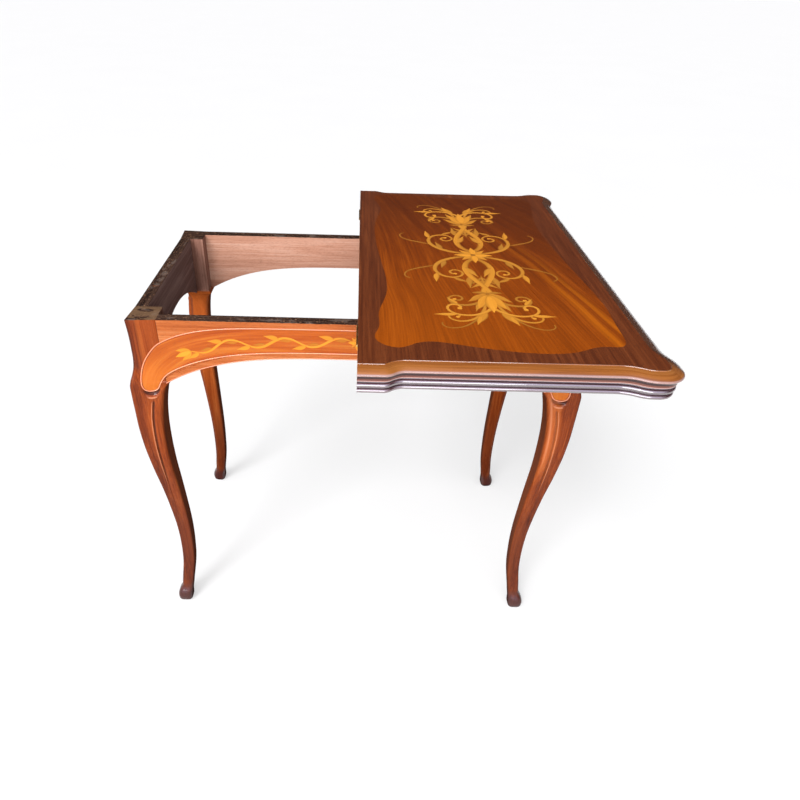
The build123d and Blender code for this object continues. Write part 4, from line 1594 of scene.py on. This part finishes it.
@dataclass
class TopInlay:
    """Scroll inlay of the top: four stems from a rosette, which roll up among leaves and blossoms."""

    table_top: float = 0.7598
    centre: tuple[float, float] = (0.2130, 0.0040)

    def stems(self) -> list[Stroke]:
        """Grow two stems from the rosette, and the others, the leaves and the berries out of them.

        Returns:
            The strips of one quarter.
        """
        bends = (120, 70, -10, -70, -110, -230, -720)
        tall = Stroke((4, 20), 40, 345, bends, (4.4, 5.6, 5.2, 4.2, 3.2, 2.4, 2.8), 0.80, 5)
        low = Stroke((12, 8), 6, 222, (60, 80, 120, 220, 400, 820), (3.2, 4.4, 3.8, 3.0, 2.2, 2.6), 0.68, 4)
        outer = tall.branch(0.42, -26, 168, (-60, -90, -220, -440, -900), (1.2, 3.6, 2.8, 2.0, 2.4), 0.55, 3)
        inner = tall.branch(0.52, 16, 150, (20, 60, 150, 420, 1000), (1.0, 3.2, 2.6, 1.9, 2.2), 0.70, 4)
        return [
            tall, low, outer, inner,
            tall.branch(0.60, -14, 128, (40, 10, -60, -200, -620), (1.0, 2.2, 1.8, 1.3, 1.1), 0.42, 1),
            low.branch(0.34, -34, 96, (-50, -10, 90, 240, 560), (1.0, 2.4, 1.9, 1.3, 1.0), 0.42, 1),
            tall.leaf(0.13, 42, 44, 5.6, -120, 0.72, 6), tall.leaf(0.24, -40, 50, 6.2, 110, 0.60, 2),
            tall.leaf(0.30, 36, 46, 5.6, -90, 0.66, 2), tall.leaf(0.66, 34, 46, 5.4, -110, 0.72, 3),
            tall.leaf(0.80, 40, 38, 4.8, -140, 0.85, 6), outer.leaf(0.30, 38, 34, 4.4, -100, 0.66, 2),
            outer.leaf(0.52, -46, 30, 4.0, 150, 0.80, 4), low.leaf(0.22, 46, 38, 5.0, -110, 0.55, 2),
            low.leaf(0.50, -44, 40, 5.2, 120, 0.82, 5), low.leaf(0.66, -52, 34, 4.4, 150, 0.60, 3),
            inner.leaf(0.36, -30, 32, 4.2, 120, 0.80, 5),
            tall.berry(4.2, 0.95, 8), *(stem.berry(3.4, 0.95, 8) for stem in (low, outer, inner)),
        ]

    def blossoms(self) -> list[Stroke]:
        """Rosette in the middle and the tall blossom at either end."""
        return [
            Stroke((0, 170), 90, 62, (0, 0), (0.4, 8, 10, 6.2, 0.2), 1.0, 9, Copies.ENDS),
            Stroke((0, 168), 58, 56, (60, 20, -150), (0.4, 6.5, 8.2, 5.6, 0.2), 0.86, 8),
            Stroke((0, 166), 22, 46, (120, 60, -260), (0.4, 5.4, 6.8, 4.4, 0.2), 0.70, 7),
            Stroke((0, 164), -28, 26, (220, 160, 40), (0.4, 3.6, 4.2, 2.4, 0.2), 0.55, 6),
            Stroke((0, 92), 90, 78, (0, 0), (0.6, 2.2, 2.4, 2.6, 3.4), 0.62, 3, Copies.ENDS),
            Stroke((0, 98), 74, 40, (-160, -60, 160), (0.3, 2.6, 3.2, 1.6, 0.2), 0.5, 2),
            *petals((90, 0), 36, 7.0, 1.0, 11), *petals((45,), 33, 6.2, 0.82, 10),
            *petals((22.5, 67.5), 27, 4.2, 0.55, 9), dot(0, 0, 5.0, 0.3, 13, Copies.ONCE),
        ]

    def placed(self, flat: np.ndarray, lift: np.ndarray) -> np.ndarray:
        """Flat points about the design's centre, at the height of the top."""
        return np.concatenate([flat + np.array(self.centre), (self.table_top + lift)[..., None]], -1)

    def build(self, material: bpy.types.Material) -> None:
        """Lay the inlay on the upper leaf.

        Args:
            material: Finish of the inlay.
        """
        solids = [solid for stroke in self.stems() + self.blossoms() for solid in stroke.solids(self.placed)]
        piece = make_piece("top_inlay", solids, material, 60)
        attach(piece, "upper_leaf")


@dataclass
class PanelInlay:
    """Vine inlay of one side's panel, which follows the panel's middle line from a small rosette."""

    side: FrameSide
    wave_length: float = 100
    swing: float = 213

    def strokes(self) -> list[Stroke]:
        """Vine, leaves and blossoms of one half.

        The vine's heading swings evenly about the middle line, so that its bends follow a sine.

        Returns:
            The strips.
        """
        waves = 3 if self.side.long else 1
        bends = (0, -self.swing, 0, self.swing) * waves + (0,)
        widths = (1.1, 2.4, 1.6, 2.6, 1.5, 2.2, 0.9)
        vine = Stroke((5, -0.5), 30, self.wave_length * waves, bends, widths, 0.85, 4, Copies.SIDES, 110)
        made = [vine, *petals((90, 0), 15, 3.8, 1.0, 8), *petals((45,), 13, 3.0, 0.75, 7)]
        leaves = (
            (0.10, -36, 24, 3.4, 120, 0.50, 3), (0.36, 40, 26, 4.4, -110, 0.78, 5),
            (0.60, 36, 24, 3.4, -120, 0.50, 3), (0.86, -40, 26, 4.2, 110, 0.80, 5),
        )
        for wave in range(waves):
            made += [vine.leaf((wave + share) / waves, *leaf) for share, *leaf in leaves]
        end, heading = vine.at(1.0)
        for turn, length, width in ((0, 32, 5.4), (30, 27, 4.6), (-30, 27, 4.6)):
            bends = (0, -turn * 3, -turn * 5)
            widths = (0.3, 0.8 * width, width, 0.6 * width, 0.2)
            tone, layer = 1.0 - abs(turn) / 150, 7 - abs(turn) // 15
            made.append(Stroke(end, heading - 31 + turn, length, bends, widths, tone, layer, Copies.SIDES))
        return made

    def placed(self, flat: np.ndarray, lift: np.ndarray) -> np.ndarray:
        """Lay flat points along the panel's middle line.

        The first value goes along the middle line, the second square to it, upwards.

        Args:
            flat: Points along and across.
            lift: Height over the veneer.

        Returns:
            Points on the side's face.
        """
        upper, lower = self.side.half_outline(120)
        middle = (upper + lower) / 2
        run = distances(middle)
        ahead = np.gradient(middle, run, axis=0)
        ahead = ahead / np.linalg.norm(ahead, axis=1, keepdims=True)
        gone = np.abs(flat[..., 0])
        reach, height, way_x, way_z = (np.interp(gone, run, column) for column in (*middle.T, *ahead.T))
        reach = (reach - way_z * flat[..., 1]) * np.where(flat[..., 0] < 0, -1, 1)
        height = height + way_x * flat[..., 1]
        depth = self.side.depth(reach, height) - self.side.veneer_rise - lift
        return self.side.world(reach, depth, height)

    def build(self, material: bpy.types.Material) -> None:
        """Lay the inlay on the frame.

        Args:
            material: Finish of the inlay.
        """
        solids = [solid for stroke in self.strokes() for solid in stroke.solids(self.placed)]
        piece = make_piece(f"inlay_{self.side.side.value[1]}", solids, material, 60)
        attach(piece, "frame")


@dataclass(frozen=True)
class InlayVeneer:
    """Light veneers of the inlay, each strip with its own tone and its edges darkened by hot sand."""

    name: str
    dull: Colour
    fair: Colour
    scorched: Colour = rgb(104, 54, 16)

    def material(self) -> bpy.types.Material:
        """Tint the veneer by each strip's tone, then its edge and its foot.

        Returns:
            The material.
        """
        recipe = Recipe(self.name)
        layer = INLAY_WOOD.lay(recipe, recipe.grain_map())
        tone, side, way = (recipe.mark(name) for name in ("tone", "side", "way"))
        colour = recipe.tint(
            self.dull,
            (tone.step(0.30, 1.10), self.fair),
            (0.3, layer.colour),
            (side.step(0.25, 1.1) * 0.55 + (1 - way.step(0.0, 0.16)) * 0.35, self.scorched),
        )
        return recipe.finish(layer.painted(colour), 0.00006, coat=0.06, shine=0.15, coat_rough=0.2)


# Leaves: flat surfaces


@dataclass(frozen=True)
class FieldVeneer:
    """Field of the top: golden brown figure that fans out towards the front."""

    bright_front: Colour = rgb(178, 88, 10)
    dark_back: Colour = rgb(66, 26, 8)
    dark_right: Colour = rgb(66, 28, 10)
    glint: Colour = rgb(196, 106, 12)

    def material(self) -> bpy.types.Material:
        """Lay the wood on lines that leave a point far behind the table and bend to the right.

        Returns:
            The material.
        """
        recipe = Recipe("field_veneer")
        place = recipe.place()
        x, y, z = recipe.parts(place)
        bow = recipe.noise(place, 2.5, 2, 31.0) - 0.5
        fan = (x - 0.03 + (y * y + y * 0.55) * 0.16 + bow * 0.05) / (1 - y * 0.75)
        layer = FIELD_WOOD.lay(recipe, recipe.point(y, fan, z))
        broad_line = fan.step(0.264, 0.276) * (1 - fan.step(0.277, 0.283))
        fine_line = fan.step(0.288, 0.291) * (1 - fan.step(0.293, 0.302))
        colour = recipe.tint(
            layer.colour,
            (y.step(0.10, -0.36) * (1 - x.step(0.10, 0.40) * 0.55) * 0.35, self.bright_front),
            (y.step(-0.10, 0.34) * 0.62, self.dark_back),
            (x.step(0.22, 0.42) * y.step(-0.22, 0.12) * 0.45, self.dark_right),
            ((broad_line + fine_line) * y.step(0.22, -0.28) * 0.4, self.glint),
        )
        return recipe.finish(layer.painted(colour), 0.0001, coat=0.06, shine=0.15, coat_rough=0.2)


@dataclass(frozen=True)
class Baize:
    """Green cloth of the playing side: short fibres, a soft nap and a few rubbed places."""

    shade: Colour = rgb(14, 44, 26)
    green: Colour = rgb(30, 76, 46)
    rubbed: Colour = rgb(66, 100, 66)

    def material(self) -> bpy.types.Material:
        """Mix the greens by a fine noise, with the rubbed places in clouds.

        Returns:
            The material.
        """
        recipe = Recipe("baize")
        place = recipe.place()
        fuzz = recipe.noise(place, 2600, 3, 41.0)
        weave = recipe.noise(place, (900, 1300, 900), 2, 43.0)
        rubbed = recipe.noise(place, 8, 4, 45.0).step(0.5, 0.75)
        colour = recipe.tint(self.shade, (fuzz.step(0.3, 0.7), self.green), (rubbed * 0.25, self.rubbed))
        layer = Layer(colour, 0.9 - rubbed * 0.1, fuzz * 0.6 + weave * 0.6)
        return recipe.finish(layer, 0.0003, shine=0.05, sheen=0.12)


@dataclass
class Carcase:
    """Pieces that keep their CAD meshes, by finish."""

    brass: Metal = Metal(rgb(214, 176, 104), rgb(128, 96, 52), 0.3, 51.0)
    steel: Metal = Metal(rgb(176, 174, 170), rgb(92, 86, 80), 0.38, 57.0)

    def dress(self) -> None:
        """Give every kept CAD piece its finish."""
        along = Run.ALONG_Y
        finishes = {
            RailPolish(True).material(): ["rail_front", "rail_back"],
            RailPolish(False).material(): ["rail_left", "rail_right"],
            cad_wood("border_veneer", BORDER_WOOD, along, coat=0.12, shine=0.2, coat_rough=0.2): [
                "top_border",
            ],
            cad_wood("playing_border", BORDER_WOOD, along, coat=0.3, shine=0.4, coat_rough=0.15): [
                "upper_playing_border", "lower_playing_border",
            ],
            FieldVeneer().material(): ["top_field"],
            cad_wood("core_wood", CORE_WOOD, along, shine=0.3): ["lower_leaf_core", "upper_leaf_core"],
            cad_wood("bearer_wood", BARE_WOOD, along, shine=0.3): ["bearer"],
            cad_wood("peg_wood", BARE_WOOD, Run.ALONG_Z, shine=0.3): ["turn_stop"],
            Baize().material(): ["lower_baize", "upper_baize"],
            self.brass.material("old_brass"): [
                "pivot_plate", "pivot_bush", "hinge_plates_lower", "hinge_plates_upper", "hinge_pins",
            ],
            self.steel.material("old_steel"): [
                "bearer_screws", "pivot_plate_screws", "pivot_bolt", "pivot_washer", "pivot_nut",
                "hinge_screws_lower", "hinge_screws_upper",
            ],
        }
        for material, names in finishes.items():
            for name in names:
                self.assign(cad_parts[name], material)
                log.info("%s: %s", name, material.name)

    def assign(self, piece: bpy.types.Object, material: bpy.types.Material) -> None:
        """Put a finish into all of a piece's material slots."""
        if not piece.material_slots:
            piece.data.materials.append(material)
        for slot in piece.material_slots:
            slot.material = material


# Studio


@dataclass
class Studio:
    """Pale floor, soft light from the front left, and the camera at the photograph's angle.

    Angles are in degrees. The focal length and the picture's centre are in pixels of its width.
    """

    camera_place: Row = (-0.00339, -1.0910, 1.2022)
    down: float = 34.891
    aside: float = 0.247
    roll: float = 1.549
    focal: float = 615.453
    centre: tuple[float, float] = (356.153, 393.117)
    image: float = 800.0
    sensor: float = 36.0
    bright_side: Row = (-0.34, -0.82, 0.46)
    aim: Row = (0, 0, 0.6)
    floor_reach: float = 40.0

    def camera(self) -> None:
        """Set the camera up from the angles measured on the photograph.

        The view goes down and a little aside; the picture's right and up directions are turned by
        the roll about it. The shift moves the picture so that its middle falls where it does there.
        """
        down, aside, roll = (math.radians(angle) for angle in (self.down, self.aside, self.roll))
        ahead = Vector((math.sin(aside) * math.cos(down), math.cos(aside) * math.cos(down), -math.sin(down)))
        level = Vector((math.cos(aside), -math.sin(aside), 0))
        over = level.cross(ahead)
        right = level * math.cos(roll) + over * math.sin(roll)
        above = over * math.cos(roll) - level * math.sin(roll)
        data = bpy.data.cameras.new("photo_camera")
        data.sensor_width = self.sensor
        data.lens = self.sensor * self.focal / self.image
        data.shift_x = (self.image / 2 - self.centre[0]) / self.image
        data.shift_y = (self.centre[1] - self.image / 2) / self.image
        camera = bpy.data.objects.new("photo_camera", data)
        turned = Matrix((right, above, -ahead)).transposed().to_4x4()
        camera.matrix_world = Matrix.Translation(self.camera_place) @ turned
        bpy.context.scene.collection.objects.link(camera)
        bpy.context.scene.camera = camera

    def floor(self) -> None:
        """Large pale floor with a faint unevenness, which throws back little light from below.

        To the eye it glows, so that the shadows on it stay pale.
        """
        recipe = Recipe("studio_floor")
        place = recipe.place()
        cloud = recipe.noise(place, 1.5, 3, 61.0)
        fine = recipe.noise(place, 60, 3, 63.0)
        path = recipe.node("ShaderNodeLightPath").outputs
        seen = recipe.mix(cloud, (0.35, 0.35, 0.352, 1), (0.37, 0.37, 0.372, 1))
        colour = recipe.tint(
            recipe.mix(cloud, rgb(222, 222, 223), rgb(228, 228, 229)),
            (path["Is Diffuse Ray"], (0.22, 0.22, 0.23, 1)),
            (path["Is Camera Ray"], seen),
        )
        glow = recipe.mix(path["Is Camera Ray"], BLACK, (0.50, 0.50, 0.502, 1))
        layer = Layer(colour, 0.75 + (fine - 0.5) * 0.1, fine)
        mesh = bpy.data.meshes.new("studio_floor")
        ring = ((-1, -1), (1, -1), (1, 1), (-1, 1))
        corners = [(x * self.floor_reach, y * self.floor_reach, 0) for x, y in ring]
        mesh.from_pydata(corners, [], [(0, 1, 2, 3)])
        mesh.materials.append(recipe.finish(layer, 0.0001, shine=0.1, glow=glow))
        piece = bpy.data.objects.new("studio_floor", mesh)
        bpy.context.scene.collection.objects.link(piece)

    def light(self, name: str, kind: str, place: Row, energy: float, **settings: Any) -> None:
        """Add a light that looks at the middle of the table.

        Args:
            name: Name of the light.
            kind: Blender's kind of light.
            place: Where it stands.
            energy: Its strength.
            settings: Its other settings.
        """
        data = bpy.data.lights.new(name, kind)
        data.energy = energy
        for setting, value in settings.items():
            setattr(data, setting, value)
        lamp = bpy.data.objects.new(name, data)
        aim = Vector(self.aim) - Vector(place)
        lamp.matrix_world = Matrix.Translation(place) @ aim.to_track_quat("-Z", "Y").to_matrix().to_4x4()
        lamp.visible_camera = False
        bpy.context.scene.collection.objects.link(lamp)

    def sky(self) -> None:
        """World: white to the eye; as a light, bright at the front left and dark behind.

        The strength is a smooth step of how far a direction agrees with the bright one.
        """
        world = bpy.data.worlds.new("studio")
        world.use_nodes = True
        recipe = Recipe.of_tree(world.node_tree)
        direction = recipe.node("ShaderNodeTexCoord").outputs["Generated"]
        sides = {0: direction, 1: self.bright_side}
        agree = recipe.node("ShaderNodeVectorMath", {"operation": "DOT_PRODUCT"}, sides)
        share = Value(recipe, agree.outputs["Value"]).step(0.05, 1.0)
        path = recipe.node("ShaderNodeLightPath").outputs
        bright = recipe.mix(path["Is Glossy Ray"], (2.3, 2.3, 2.3, 1), (2.35, 2.2, 2.8, 1))
        light = recipe.mix(share, (0.06, 0.06, 0.062, 1), bright)
        colour = recipe.mix(path["Is Camera Ray"], light, WHITE)
        background = recipe.node("ShaderNodeBackground", None, {"Color": colour, "Strength": 1.0})
        recipe.node("ShaderNodeOutputWorld", None, {"Surface": background.outputs[0]})
        bpy.context.scene.world = world

    def build(self) -> None:
        """Set up the camera, the floor and the light."""
        self.camera()
        self.floor()
        self.sky()
        bpy.context.scene.view_settings.view_transform = "Standard"
        self.light("soft_key", "SUN", (-1.5, -2.4, 3.4), 2.2, angle=math.radians(20))
        self.light("window", "AREA", (-0.6, -3.4, 1.4), 90, shape="RECTANGLE", size=3.6, size_y=0.9)


def main() -> None:
    """Build the table piece by piece, then the studio."""
    logging.basicConfig(level=logging.INFO, format="%(name)s: %(message)s")
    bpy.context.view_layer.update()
    legs = [
        Leg(side_x, side_y, f"leg_{depth}_{side}")
        for side_y, depth in ((-1, "front"), (1, "back"))
        for side_x, side in ((-1, "left"), (1, "right"))
    ]
    leg_polish = LegPolish().material()
    for leg in legs:
        leg.build(leg_polish)
    veneer, string = PanelVeneer().material(), StringPolish().material()
    TopInlay().build(InlayVeneer("top_inlay_veneer", rgb(122, 76, 32), rgb(222, 148, 50)).material())
    inlay = InlayVeneer("panel_inlay_veneer", rgb(132, 66, 20), rgb(220, 138, 40)).material()
    for side in Side:
        frame_side = FrameSide(side, legs[0])
        frame_side.build(veneer, string)
        PanelInlay(frame_side).build(inlay)
    for kind in LeafKind:
        LeafEdge(kind).build(MouldingPolish(kind).material())
    Carcase().dress()
    Studio().build()


if __name__ == "__main__":
    main()
